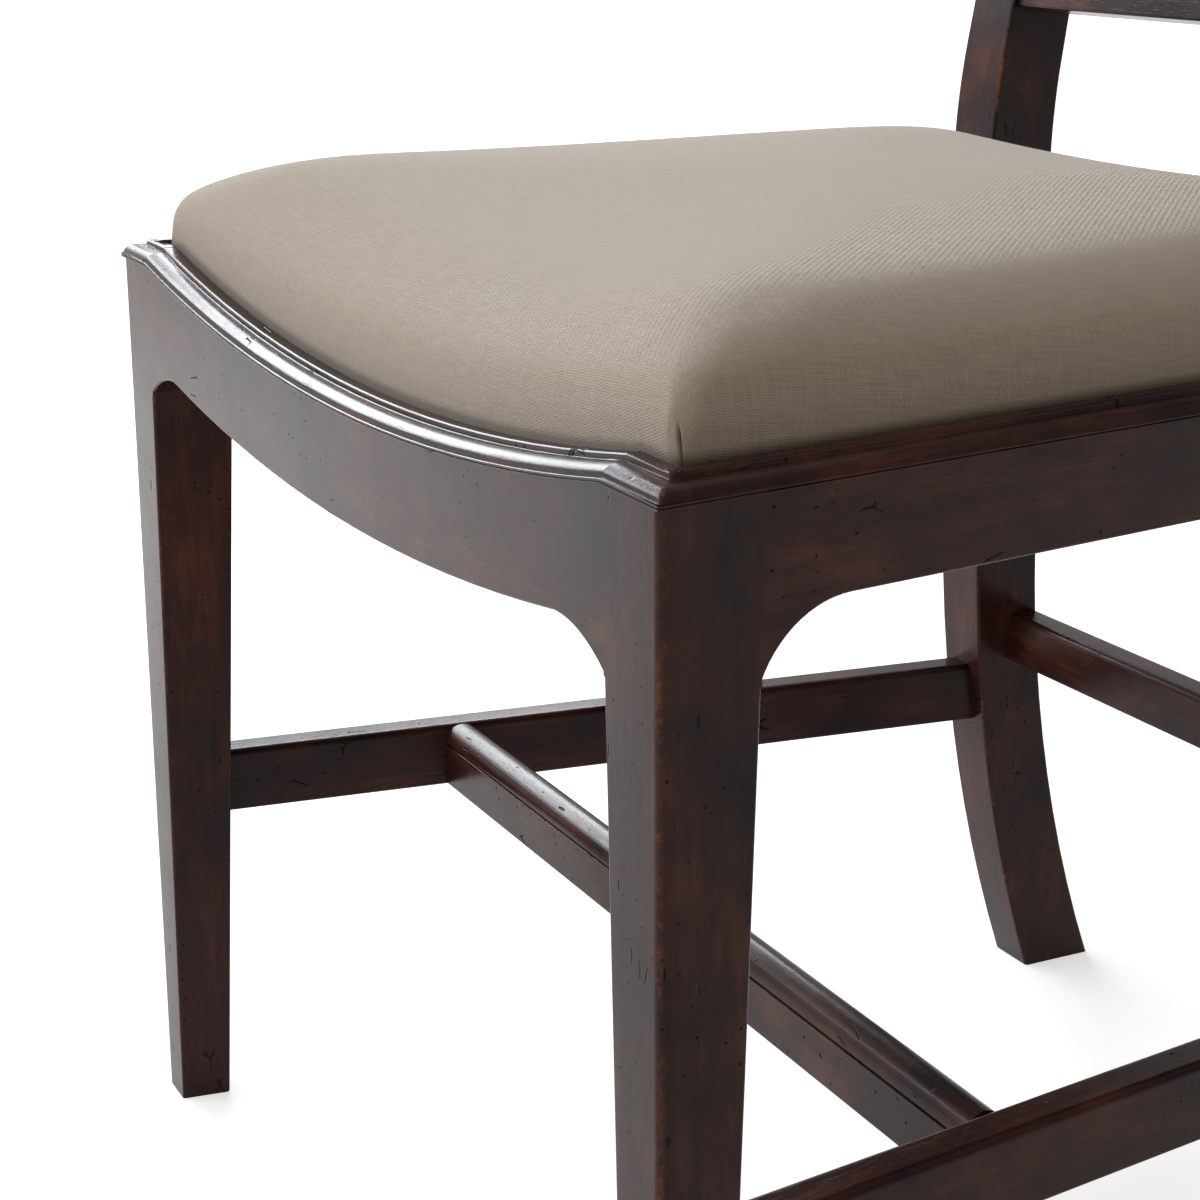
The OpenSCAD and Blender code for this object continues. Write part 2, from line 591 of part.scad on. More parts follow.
// The front leg is square in plan, with its sides along the front and the side of
// the seat. Its two inner faces taper, and its top carries the moulding.
function leg_outline(out) = concat(
    [[0, 0], [0, moulding_z]],
    [for (p = mould_points) [out * p[0], moulding_z + p[1]]],
    [[out * leg_n, moulding_z + mould_h], [out * leg_n, bracket_z], [out * foot_n, 0]]);
module front_leg_form() difference() {
    intersection() {
        at_side() along_y(-2 * front_leg_w, 2 * front_leg_w) polygon(leg_outline(-1));
        along_x(half_w - 2 * front_leg_w, half_w + front_leg_w) polygon(leg_outline(1));
    }
    seat_pocket();
}
module front_leg() color(mahogany) difference() {
    front_leg_form();
    front_rail_tenon(fit);
    side_rail_tenon_front(fit);
    side_stretcher_core(fit);
}

// The rear leg stands upright at the seat, sweeps back to its foot and leans back
// as a stile. Its inner face tapers towards both ends.
module rear_leg_form() intersection() {
    along_x(rear_half, rear_half_w) polygon(rear_leg_points);
    along_y(seat_d / 2, 2 * seat_d) polygon([
        [rear_half_w, 0], [rear_half_w, tall], [rear_half_w - rear_tip_w, tall],
        [rear_half_w - rear_tip_w, stile_rise], [rear_half, rake_z], [rear_half, sabre_z],
        [rear_half_w - rear_tip_w, 0]]);
}
module rear_leg() color(mahogany) difference() {
    union() {
        rear_leg_form();
        stile_tenon();
    }
    side_rail_tenon_rear(fit);
    rear_rail_tenon(fit);
    side_stretcher_core(fit);
    rear_stretcher_core(fit);
    low_rail_core(fit);
    lattice_mortises();
}

// The front rail dips between the legs, with a small bracket at each end
front_spread = asin(front_half / (front_r - mould_h)) + 1;
front_centre = dip_centre(front_half, front_r, moulding_z);
arch_bite_share = 0.006;
arch_far = front_r + front_rail_h + front_arch_r * (1 - arch_bite_share);
arch_near = norm([front_half, front_centre - bracket_z]);
arch_angle = asin(front_half / arch_near) - acos(
    (arch_far * arch_far + arch_near * arch_near - front_arch_r * front_arch_r)
    / (2 * arch_far * arch_near));
arch_centre = [arch_far * sin(arch_angle), front_centre - arch_far * cos(arch_angle)];
arch_start = (front_r + front_rail_h) * [sin(arch_angle), -cos(arch_angle)] + [0, front_centre];
// The brackets stop a little short of the rail's inner face
bracket_step = tenon_shoulder / 3;
module front_bracket() along_y(0, rail_t - bracket_step) difference() {
    translate([arch_start[0], bracket_z - overrun])
        square([front_half - arch_start[0] + overrun,
                arch_start[1] + front_rail_h / 3 - bracket_z + overrun]);
    translate(arch_centre) circle(front_arch_r, $fn = sweep_fn);
}
module front_rail() color(mahogany) difference() {
    union() {
        intersection() {
            between_front_legs();
            union() {
                hanging_sweep(front_centre, front_spread) polygon(concat(
                    [[front_r + front_rail_h, 0], [front_r, 0]],
                    [for (p = mould_points) [front_r - p[1], p[0]]],
                    [[front_r - ledge_z + moulding_z, mould_w],
                     [front_r - ledge_z + moulding_z, rail_t],
                     [front_r + front_rail_h, rail_t]]));
                both_sides() front_bracket();
            }
        }
        both_sides() front_rail_tenon();
    }
    both_sides() at_block_screws(front_block, 1, front_block_top) screw(block_screw_len, fit);
}

// The side rail is straight, with an arched bracket at each end
side_low_z = moulding_z - side_rail_h;
side_arch_drop = side_arch_r - side_low_z + bracket_z;
side_arch_run = sqrt(side_arch_r * side_arch_r - side_arch_drop * side_arch_drop);
side_end = seat_d / cos(splay);
module side_rail_face() difference() {
    translate([0, bracket_z]) square([side_end + overrun, moulding_z + mould_h - bracket_z]);
    translate([leg_n + side_arch_run, side_low_z - side_arch_r])
        circle(side_arch_r, $fn = sweep_fn);
    translate([side_end - side_arch_run, side_low_z - side_arch_r])
        circle(side_arch_r, $fn = sweep_fn);
    translate([leg_n + side_arch_run, side_low_z - side_arch_r])
        square([side_end - leg_n - 2 * side_arch_run, side_arch_r]);
}
module side_rail() color(mahogany) difference() {
    union() {
        intersection() {
            at_side() along_y(-overrun, side_end + overrun) polygon(concat(
                [[0, bracket_z - overrun], [0, moulding_z]],
                [for (p = mould_points) [-p[0], moulding_z + p[1]]],
                [[-mould_w, ledge_z], [-rail_t, ledge_z], [-rail_t, bracket_z - overrun]]));
            at_side() along_x(-rail_t - overrun, overrun) side_rail_face();
            translate([0, leg_n, 0]) cube([seat_front_w, seat_d - leg_n, tall]);
        }
        side_rail_tenon_front();
        side_rail_tenon_rear();
    }
    at_block_screws(front_block, 1, front_block_top) screw(block_screw_len, fit);
    at_block_screws(rear_block, -1, rear_block_top) screw(block_screw_len, fit);
}

// The rear rail dips like the front rail, between the rear legs
rear_spread = asin(rear_half / (rear_r - mould_h)) + 1;
module rear_rail() color(mahogany) difference() {
    union() {
        intersection() {
            hanging_sweep(dip_centre(rear_half, rear_r, moulding_z), rear_spread) polygon([
                [rear_r + rear_rail_h, rear_rail_y],
                [rear_r - ledge_z + moulding_z, rear_rail_y],
                [rear_r - ledge_z + moulding_z, seat_d + mould_lip],
                [rear_r - mould_h, seat_d + mould_lip],
                [rear_r - mould_h, rear_rail_y + rear_rail_t],
                [rear_r + rear_rail_h, rear_rail_y + rear_rail_t]]);
            translate([-rear_half, 0, 0]) cube([2 * rear_half, 2 * seat_d, tall]);
        }
        both_sides() rear_rail_tenon();
    }
    both_sides() at_block_screws(rear_block, -1, rear_block_top) screw(block_screw_len, fit);
}

// Stretchers. The cross stretcher has a round bead along its top, over a quirk.
module rounded_top(w, h, r) {
    square([w, h - r]);
    translate([r, 0]) square([w - 2 * r, h]);
    translate([r, h - r]) circle(r, $fn = round_fn);
    translate([w - r, h - r]) circle(r, $fn = round_fn);
}
module side_stretcher() color(mahogany) difference() {
    union() {
        difference() {
            at_side_stretcher() translate([-stretcher_t / 2, 0, 0])
                along_y(0, stretcher_run) rounded_top(stretcher_t, stretcher_h, stretcher_round);
            front_leg_form();
            rear_leg_form();
        }
        side_stretcher_core();
    }
    cross_stretcher_core(fit);
}
quirk = stretcher_t / 14;
module cross_stretcher() color(mahogany) union() {
    difference() {
        along_x(-cross_end, cross_end) translate([cross_y, stretcher_z]) difference() {
            union() {
                square([stretcher_t, stretcher_h - stretcher_t / 2]);
                translate([stretcher_t / 2, stretcher_h - stretcher_t / 2])
                    circle(stretcher_t / 2, $fn = round_fn);
            }
            translate([-quirk, stretcher_h - stretcher_t / 2 - quirk]) square([2 * quirk, quirk]);
            translate([stretcher_t - quirk, stretcher_h - stretcher_t / 2 - quirk])
                square([2 * quirk, quirk]);
        }
        both_sides() side_stretcher_envelope();
    }
    cross_stretcher_core();
}
module rear_stretcher() color(mahogany) union() {
    difference() {
        along_x(-rear_stretcher_end, rear_stretcher_end)
            translate([rear_stretcher_y, rear_stretcher_z])
                rounded_top(stretcher_t, rear_stretcher_h, stretcher_round);
        both_sides() rear_leg_form();
    }
    rear_stretcher_core();
}

// The top rail rises to its middle, and its upper front edge has the seat's moulding
crest_r = (rear_half_w * rear_half_w + crest_rise * crest_rise) / (2 * crest_rise);
crest_spread = asin(rear_half_w / (crest_r - crest_h)) + 1;
module top_rail() color(mahogany) difference() {
    in_back() intersection() {
        standing_sweep(back_len - crest_r, crest_spread) polygon(concat(
            [[crest_r - 2 * crest_h, 0], [crest_r - mould_h, 0]],
            [for (p = mould_points) [crest_r - mould_h + p[1], p[0]]],
            [[crest_r, stile_top_d], [crest_r - 2 * crest_h, stile_top_d]]));
        translate([-rear_half_w, -overrun, open_high])
            cube([2 * rear_half_w, stile_top_d + 2 * overrun, 2 * crest_h]);
    }
    both_sides() stile_tenon(fit);
    lattice_mortises();
}
module lower_back_rail() color(mahogany) difference() {
    union() {
        difference() {
            in_back() along_x(-low_rail_end, low_rail_end)
                translate([low_rail_set_back, low_rail_v])
                    rounded_top(low_rail_t, low_rail_h, stretcher_round / 2);
            both_sides() rear_leg_form();
        }
        low_rail_core();
    }
    lattice_mortises();
}

// The seat frame lies on the ledges. Its front and rear members are dished.
module dip_disc(centre_z, r, from, to) translate([0, from, centre_z]) rotate([-90, 0, 0])
    cylinder(h = to - from, r = r, $fn = sweep_fn);
module dished_member(half, r, from, to) difference() {
    intersection() {
        union() {
            translate([-half_w, from, frame_z]) cube([seat_front_w, to - from, member_t]);
            intersection() {
                dip_disc(dip_centre(half, r, frame_z), r, from, to);
                translate([-half - overrun, from, frame_z - seat_dip - overrun])
                    cube([2 * (half + overrun), to - from, seat_dip + 2 * overrun]);
            }
        }
        seat_frame_plan();
    }
    dip_disc(dip_centre(half, r, frame_z), r - member_t, from - overrun, to + overrun);
}
module seat_frame_plan() linear_extrude(tall) polygon(seat_ring(frame_in, corner_r));
// The side members are level, with their inner edge bevelled down to the dish
side_bevel_at = member_out_x(member_front_y) - seat_front_half;
side_bevel = layer_gap - min(dish(member_out_x(member_front_y) - member_w, member_front_y),
                             dish(member_out_x(member_rear_y) - member_w, member_rear_y));
dowel_share = 0.42;
function member_out_x(y) = half_w - frame_in / cos(splay) - y * tan(splay);
function member_mid_x(y) = half_w - (frame_in + member_w / 2) / cos(splay) - y * tan(splay);
module at_dowels() both_sides() for (y = [member_front_y, member_rear_y]) for (s = [-1, 1])
    translate([member_mid_x(y) + s * member_w / 4, y - dowel_len / 2,
               frame_z + member_t * dowel_share])
        rotate([-90, 0, 0]) children();
module dowel_holes() at_dowels() translate([0, 0, -fit])
    cylinder(h = dowel_len + 2 * fit, r = dowel_r + fit, $fn = round_fn);
module seat_screw_holes() all_blocks() screw(seat_screw_len, fit);
module seat_frame_front() color(beech) difference() {
    dished_member(seat_front_half, front_r, frame_in, member_front_y);
    dowel_holes();
    seat_screw_holes();
}
module seat_frame_rear() color(beech) difference() {
    dished_member(seat_rear_half, rear_r, member_rear_y, member_rear_y + member_w);
    dowel_holes();
    seat_screw_holes();
}
module seat_frame_side() color(beech) difference() {
    intersection() {
        at_side() along_y(0, 2 * seat_d) polygon([
            [-frame_in, frame_z], [-frame_in, frame_top],
            [-frame_in - side_bevel_at, frame_top],
            [-frame_in - member_w, frame_top - side_bevel], [-frame_in - member_w, frame_z]]);
        translate([0, member_front_y, 0])
            cube([seat_front_w, member_rear_y - member_front_y, tall]);
    }
    dowel_holes();
}

// Soft parts of the slip seat, from the bottom up
strap_z = frame_top + layer_gap;
foam_z = strap_z + strap_t + layer_gap;
strap_pitch = 2 * (seat_rear_half - strap_w / 2 - member_w / 4) / (strap_count - 1);
strap_places = [frame_in + member_w / 4, member_front_y, seat_mid_y, member_rear_y,
                member_rear_y + member_w * 3 / 4];
module seat_webbing() color(jute) for (i = [0:strap_count - 1])
    dished_sheet((i - (strap_count - 1) / 2) * strap_pitch, strap_w / 2, strap_w / 2,
                 strap_steps, strap_places, strap_z, strap_t);
strap_steps = 2;
dust_steps = 8;
dust_in = frame_in + turn_under + layer_gap + member_w / 8;
dust_front = half_w - dust_in / cos(splay) - dust_in * tan(splay);
dust_rear = half_w - dust_in / cos(splay) - (seat_back_y + cover_in - dust_in) * tan(splay);
dust_places = [dust_in, member_front_y, seat_mid_y, member_rear_y,
               seat_back_y + cover_in - dust_in];
module seat_dust_cover() color(cambric)
    dished_sheet(0, dust_front, dust_rear, dust_steps, dust_places,
                 frame_z - dust_t - layer_gap, dust_t);
foam_in = cover_t + layer_gap;
foam_base_shares = [0.5, 0.2];
module seat_foam() color(foam_white) ring_skin(
    concat(crown_rings(foam_in, frame_top),
           [ring_at(cover_in + foam_in, corner_r, foam_z)],
           [for (s = reversed(foam_base_shares))
                ring_at(cover_in + foam_in + s * seat_half_d, corner_r, foam_z)]),
    frame_top + crown_pole - foam_in, foam_z + dish(0, seat_mid_y));
module seat_cover() color(taupe) ring_skin(
    concat(crown_rings(0, frame_top),
           [ring_at(cover_in, corner_r, frame_z - cover_t - fit),
            ring_at(cover_in + turn_under, corner_r, frame_z - cover_t - fit),
            ring_at(cover_in + turn_under, corner_r, frame_z - fit),
            ring_at(cover_in + cover_t, corner_r, frame_z - fit)],
           reversed(crown_rings(cover_t, frame_top))),
    frame_top + crown_pole, frame_top + crown_pole - cover_t);

// Fasteners
module corner_block_screws() color(steel) both_sides() {
    at_block_screws(front_block, 1, front_block_top) screw(block_screw_len);
    at_block_screws(rear_block, -1, rear_block_top) screw(block_screw_len);
}
module seat_screws() color(steel) all_blocks() screw(seat_screw_len);
module seat_frame_dowels() color(beech) at_dowels()
    cylinder(h = dowel_len, r = dowel_r, $fn = round_fn);

placed() mirror([1, 0, 0]) front_leg();  // front_leg_left
placed() front_leg();  // front_leg_right
placed() mirror([1, 0, 0]) rear_leg();  // rear_leg_left
placed() rear_leg();  // rear_leg_right
placed() front_rail();
placed() mirror([1, 0, 0]) side_rail();  // side_rail_left
placed() side_rail();  // side_rail_right
placed() rear_rail();
placed() mirror([1, 0, 0]) side_stretcher();  // side_stretcher_left
placed() side_stretcher();  // side_stretcher_right
placed() cross_stretcher();
placed() rear_stretcher();
placed() top_rail();
placed() lower_back_rail();
for (k = bar_numbers) {
    placed() color(mahogany) rising_bar(k);
    placed() color(mahogany) falling_bar(k);
}
placed() mirror([1, 0, 0]) color(beech) corner_block(front_block, 1, front_block_top);  // corner_block_front_left
placed() color(beech) corner_block(front_block, 1, front_block_top);  // corner_block_front_right
placed() mirror([1, 0, 0]) color(beech) corner_block(rear_block, -1, rear_block_top);  // corner_block_rear_left
placed() color(beech) corner_block(rear_block, -1, rear_block_top);  // corner_block_rear_right
placed() corner_block_screws();
placed() seat_screws();
placed() seat_frame_front();
placed() seat_frame_rear();
placed() mirror([1, 0, 0]) seat_frame_side();  // seat_frame_left
placed() seat_frame_side();  // seat_frame_right
placed() seat_frame_dowels();
placed() seat_webbing();
placed() seat_dust_cover();
placed() seat_foam();
placed() seat_cover();
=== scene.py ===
import bmesh
import bpy
import json
import math
from mathutils import Matrix, Vector

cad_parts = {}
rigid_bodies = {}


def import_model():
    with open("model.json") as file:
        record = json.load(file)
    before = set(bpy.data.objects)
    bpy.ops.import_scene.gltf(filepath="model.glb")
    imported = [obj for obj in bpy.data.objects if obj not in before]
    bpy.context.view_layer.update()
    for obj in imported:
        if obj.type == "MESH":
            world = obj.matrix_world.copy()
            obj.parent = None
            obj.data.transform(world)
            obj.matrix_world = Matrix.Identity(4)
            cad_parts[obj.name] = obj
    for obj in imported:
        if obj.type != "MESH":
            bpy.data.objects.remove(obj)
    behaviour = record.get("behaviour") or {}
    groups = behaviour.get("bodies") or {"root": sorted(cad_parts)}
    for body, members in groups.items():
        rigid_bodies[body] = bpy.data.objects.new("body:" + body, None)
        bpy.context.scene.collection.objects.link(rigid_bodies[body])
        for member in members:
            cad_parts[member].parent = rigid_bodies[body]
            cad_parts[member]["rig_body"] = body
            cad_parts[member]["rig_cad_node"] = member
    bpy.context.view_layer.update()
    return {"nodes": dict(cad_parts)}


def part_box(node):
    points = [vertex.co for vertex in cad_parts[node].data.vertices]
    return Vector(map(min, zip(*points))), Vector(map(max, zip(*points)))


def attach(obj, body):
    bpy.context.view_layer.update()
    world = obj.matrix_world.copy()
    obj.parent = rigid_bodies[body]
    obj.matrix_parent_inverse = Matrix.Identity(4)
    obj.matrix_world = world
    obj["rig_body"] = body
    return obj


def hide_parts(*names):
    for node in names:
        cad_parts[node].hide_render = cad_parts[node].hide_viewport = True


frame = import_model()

nodes = frame["nodes"]

MM = 0.001
FRONT = 0.279417             # the front faces lie this far before the middle

# Plan and section of the seat, in millimetres, with y measured back from the front faces
HALF_W = 280.0
SPLAY = math.radians(7.496)
SEAT_BACK = 435.6
COVER_IN = 15.9
FRAME_Z = 430.7
FRAME_TOP = 446.7
CROWN = 62.0
SEAT_MID = (COVER_IN + SEAT_BACK) / 2
SEAT_HALF = (SEAT_BACK - COVER_IN) / 2
MOULDING_TOP = 444.6         # where the cushion goes down into the rails
CORNER_R = 7.0               # radius of the cushion's corners at its lower edge
CORNER_GROWTH = 15.0         # and how much it grows up to the crown
CORNER_EASE = 12.0           # how far the level lines are evened out, high on the cushion
EASED_FROM = 35.0            # the height from which they are evened out all the way
DISHED_FROM, DISHED_TO = 66.85, 384.65       # between these the dip changes from front to rear
FRONT_DISH_HALF, FRONT_DISH_R = 235.64, 1342.0
REAR_DISH_HALF = 185.1
COVER_T = 0.8
TURN_UNDER = 14.0            # how far the cover goes on under the frame
FOAM_IN = 1.2                # the stuffing lies this far inside the cushion's form
FOAM_BASE = 448.9            # and its base lies on the webbing at this height
REAR_HALF, REAR_DIP = 186.5, 8.5
REAR_R = (REAR_HALF ** 2 + REAR_DIP ** 2) / (2 * REAR_DIP)

# Other sizes in millimetres
WIDE = 6.0                   # the widest rounding of an edge
SWELL = 2.4                  # the most that the stuffing is blown out
EVEN_SWELL = 9.0             # over this distance the swelling is evened out

# In metres: heights between which the seat rails lie against the legs, and how far out the
# inner faces of the legs are
RAIL_LOW = 0.3745
FRONT_RAIL_HIGH = 0.4353
REAR_RAIL_HIGH = 0.4447
MOULDING_LOW = 0.436
LEG_TOP = 0.46
FRONT_INNER = 0.242
REAR_INNER = 0.1865

# In metres: how wide the edges of the show wood are rounded
OUTER_CORNER = 5.5 * MM
LEG_EDGE = 1.6 * MM
TOP_RAIL_EDGE = 1.5 * MM
STRETCHER_EDGE = 1.3 * MM
RAIL_EDGE = 1.2 * MM
LATTICE_EDGE = 0.9 * MM
BLOCK_EDGE = 0.8 * MM

# From these cosines on a face counts as an end of its piece, whose edges stay sharp
SQUARE, LEANING, SLANTED, NO_ENDS = 0.985, 0.9, 0.75, 1.1


# ---------------------------------------------------------------- picking and making
def pick(*things):
    bpy.ops.object.select_all(action="DESELECT")
    for thing in things:
        thing.select_set(True)
    bpy.context.view_layer.objects.active = things[0]


def apply_all(piece):
    pick(piece)
    for m in list(piece.modifiers):
        bpy.ops.object.modifier_apply(modifier=m.name)


def put_in(name, data):
    o = bpy.data.objects.new(name, data)
    bpy.context.scene.collection.objects.link(o)
    return o


def copy_of(node, name):
    """A piece that starts as a copy of a node's solid and takes its place."""
    source = nodes[node]
    piece = source.copy()
    piece.data = source.data.copy()
    piece.name = piece.data.name = name
    piece.parent = None
    piece.matrix_world = Matrix.Identity(4)
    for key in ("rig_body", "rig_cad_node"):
        if key in piece:
            del piece[key]
    bpy.context.scene.collection.objects.link(piece)
    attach(piece, "root")
    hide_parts(node)
    return piece


def clean(piece, flat=0.6):
    pick(piece)
    bpy.ops.object.mode_set(mode="EDIT")
    bpy.ops.mesh.select_all(action="SELECT")
    bpy.ops.mesh.remove_doubles(threshold=0.02 * MM)
    bpy.ops.mesh.dissolve_limited(angle_limit=math.radians(flat))
    bpy.ops.mesh.normals_make_consistent(inside=False)
    bpy.ops.object.mode_set(mode="OBJECT")


def reach(face, edge):
    """How far a face goes from one of its edges, square to it."""
    start = edge.verts[0].co
    run = (edge.verts[1].co - start).normalized()
    side = face.normal.cross(run)
    return max(abs((v.co - start).dot(side)) for v in face.verts)


def split_at(piece, *levels):
    """Cuts the faces of a piece at some heights, so that an edge can change there."""
    pick(piece)
    bpy.ops.object.mode_set(mode="EDIT")
    for level in levels:
        bpy.ops.mesh.select_all(action="SELECT")
        bpy.ops.mesh.bisect(plane_co=(0, 0, level), plane_no=(0, 0, 1))
    bpy.ops.object.mode_set(mode="OBJECT")


def soften(piece, along, width, end, tight=(), sharp=32, segments=3):
    """Rounds the convex edges that run along a piece, and marks them as rubbed. The edges
    that lie against another piece are tight: each plane is (normal, distance, low, high, slack)."""
    def lies_tight(edge):
        return any(all(abs(v.co.dot(n) - d) < slack * MM and low <= v.co.z <= high for v in edge.verts)
                   for n, d, low, high, slack in tight)

    mesh = piece.data
    mesh.attributes.new("bevel_weight_edge", "FLOAT", "EDGE")
    bm = bmesh.new()
    bm.from_mesh(mesh)
    weight = bm.edges.layers.float["bevel_weight_edge"]
    for edge in bm.edges:
        if len(edge.link_faces) != 2 or edge.calc_face_angle_signed(0) < math.radians(sharp):
            continue
        if any(abs(f.normal.dot(along)) > end for f in edge.link_faces):
            continue
        if lies_tight(edge):
            continue
        room = min(reach(f, edge) for f in edge.link_faces)
        wide = width(edge) if callable(width) else width
        edge[weight] = min(wide, 0.3 * room) / (WIDE * MM)
    bm.to_mesh(mesh)
    bm.free()
    while len(mesh.materials) < 2:
        mesh.materials.append(None)
    bevel = piece.modifiers.new("rounded edges", "BEVEL")
    bevel.limit_method = "WEIGHT"
    bevel.width = WIDE * MM
    bevel.segments = segments
    bevel.use_clamp_overlap = False
    bevel.material = 1
    apply_all(piece)
    bm = bmesh.new()
    bm.from_mesh(mesh)
    bmesh.ops.remove_doubles(bm, verts=bm.verts, dist=0.015 * MM)
    bmesh.ops.dissolve_degenerate(bm, edges=bm.edges, dist=0.01 * MM)
    for edge in bm.edges:
        edge.smooth = not lies_tight(edge)
    rubbed = bm.verts.layers.float.new("rubbed")
    for v in bm.verts:
        v[rubbed] = 0.0
        if v.link_faces and all(f.material_index == 1 for f in v.link_faces):
            step = min(e.calc_length() for e in v.link_edges)
            v[rubbed] = min(1.0, step / (0.5 * MM)) ** 2
            if step > 1.2 * MM and v.normal.y > -0.8:      # a wide rounding is only a little worn
                v[rubbed] = 0.12
    for f in bm.faces:
        f.material_index = 0
    bm.to_mesh(mesh)
    bm.free()


def shade(piece, angle=38):
    pick(piece)
    bpy.ops.object.shade_smooth_by_angle(angle=math.radians(angle))
    even = piece.modifiers.new("even shading", "WEIGHTED_NORMAL")
    even.keep_sharp = True
    apply_all(piece)


def lay_grain(piece, along, number):
    """Each piece is cut from its own place in the wood, with the grain along it."""
    mesh = piece.data
    along = along.normalized()
    across = along.orthogonal().normalized()
    third = along.cross(across)
    middle = sum((v.co for v in mesh.vertices), Vector()) / len(mesh.vertices)
    place = Vector((0.37 * number, 0.61 * (number % 5), 0.83 * (number % 7)))
    grain = mesh.attributes.new("grain", "FLOAT_VECTOR", "POINT")
    for v, value in zip(mesh.vertices, grain.data):
        p = v.co - middle
        value.vector = Vector((p.dot(along), p.dot(across), p.dot(third))) + place


# ---------------------------------------------------------------- nodes of the finishes
def feed(tree, socket, value):
    if isinstance(value, bpy.types.NodeSocket):
        tree.links.new(value, socket)
    else:
        socket.default_value = value


def maths(tree, operation, *values, clamp=False):
    n = tree.nodes.new("ShaderNodeMath")
    n.operation = operation
    n.use_clamp = clamp
    for socket, value in zip(n.inputs, values):
        feed(tree, socket, value)
    return n.outputs[0]


def times(tree, a, b):
    return maths(tree, "MULTIPLY", a, b)


def plus(tree, a, b):
    return maths(tree, "ADD", a, b)


def stretch(tree, where, scale):
    n = tree.nodes.new("ShaderNodeMapping")
    feed(tree, n.inputs["Vector"], where)
    n.inputs["Scale"].default_value = scale
    return n.outputs[0]


def cloudy(tree, where, scale, detail=3.0, rough=0.5, swirl=0.0):
    n = tree.nodes.new("ShaderNodeTexNoise")
    feed(tree, n.inputs["Vector"], where)
    n.inputs["Scale"].default_value = scale
    n.inputs["Detail"].default_value = detail
    n.inputs["Roughness"].default_value = rough
    n.inputs["Distortion"].default_value = swirl
    return n.outputs["Fac"]


def span(tree, value, low, high, start=0.0, end=1.0):
    n = tree.nodes.new("ShaderNodeMapRange")
    n.interpolation_type = "SMOOTHSTEP"
    feed(tree, n.inputs["Value"], value)
    for name, v in (("From Min", low), ("From Max", high), ("To Min", start), ("To Max", end)):
        feed(tree, n.inputs[name], v)
    return n.outputs["Result"]


def blend(tree, share, first, second):
    n = tree.nodes.new("ShaderNodeMix")
    n.data_type = "RGBA"
    feed(tree, n.inputs[0], share)
    feed(tree, n.inputs[6], first)
    feed(tree, n.inputs[7], second)
    return n.outputs[2]


def bumped(tree, height, distance, strength=1.0, under=None):
    n = tree.nodes.new("ShaderNodeBump")
    feed(tree, n.inputs["Height"], height)
    n.inputs["Distance"].default_value = distance
    n.inputs["Strength"].default_value = strength
    if under is not None:
        feed(tree, n.inputs["Normal"], under)
    return n.outputs["Normal"]


def mark(tree, name, kind="Vector"):
    n = tree.nodes.new("ShaderNodeAttribute")
    n.attribute_name = name
    return n.outputs[kind]


def place(tree, kind="Object"):
    return tree.nodes.new("ShaderNodeTexCoord").outputs[kind]


def effect(name, takes, gives):
    """A shared effect: a node group with named inputs and outputs."""
    tree = bpy.data.node_groups.new(name, "ShaderNodeTree")
    for label, kind, value in takes:
        s = tree.interface.new_socket(label, in_out="INPUT", socket_type="NodeSocket" + kind)
        if value is not None:
            s.default_value = value
    for label, kind in gives:
        tree.interface.new_socket(label, in_out="OUTPUT", socket_type="NodeSocket" + kind)
    return tree, tree.nodes.new("NodeGroupInput").outputs, tree.nodes.new("NodeGroupOutput").inputs


def use(tree, group, **values):
    n = tree.nodes.new("ShaderNodeGroup")
    n.node_tree = group
    for label, value in values.items():
        feed(tree, n.inputs[label.replace("_", " ")], value)
    return n.outputs


def finish_of(name, **settings):
    """A material with a Principled BSDF, whose constant values are set on its sockets."""
    m = bpy.data.materials.new(name)
    m.use_nodes = True
    shader = m.node_tree.nodes["Principled BSDF"]
    for label, value in settings.items():
        shader.inputs[label.replace("_", " ")].default_value = value
    return m, m.node_tree, shader


# Wood grain: long streaks, a short ripple across them, fine pores, and the stain that has
# taken unevenly (this last runs on over the joints)
grain_effect, g_in, g_out = effect(
    "wood grain", [("Place", "Vector", None), ("Where", "Vector", None)],
    [("Streaks", "Float"), ("Pores", "Float"), ("Drift", "Float"), ("Glaze", "Float")])
feed(grain_effect, g_out["Streaks"], maths(
    grain_effect, "MULTIPLY_ADD",
    cloudy(grain_effect, stretch(grain_effect, g_in["Place"], (22, 260, 260)), 1.0, 5.0, 0.66, 0.5), 0.55,
    times(grain_effect, cloudy(grain_effect, stretch(grain_effect, g_in["Place"], (5, 48, 48)),
                               1.0, 3.0, 0.55, 0.8), 0.45)))
feed(grain_effect, g_out["Pores"], span(
    grain_effect, cloudy(grain_effect, stretch(grain_effect, g_in["Place"], (110, 1500, 1500)),
                         1.0, 2.0, 0.5), 0.6, 0.7))
feed(grain_effect, g_out["Drift"], maths(
    grain_effect, "ADD",
    times(grain_effect, cloudy(grain_effect, stretch(grain_effect, g_in["Place"], (15, 42, 42)),
                               1.0, 4.0, 0.6, 0.7), 0.5),
    times(grain_effect, cloudy(grain_effect, g_in["Where"], 26.0, 4.0, 0.6, 0.4), 0.5)))
feed(grain_effect, g_out["Glaze"], cloudy(grain_effect, g_in["Where"], 9.0, 3.0, 0.55))

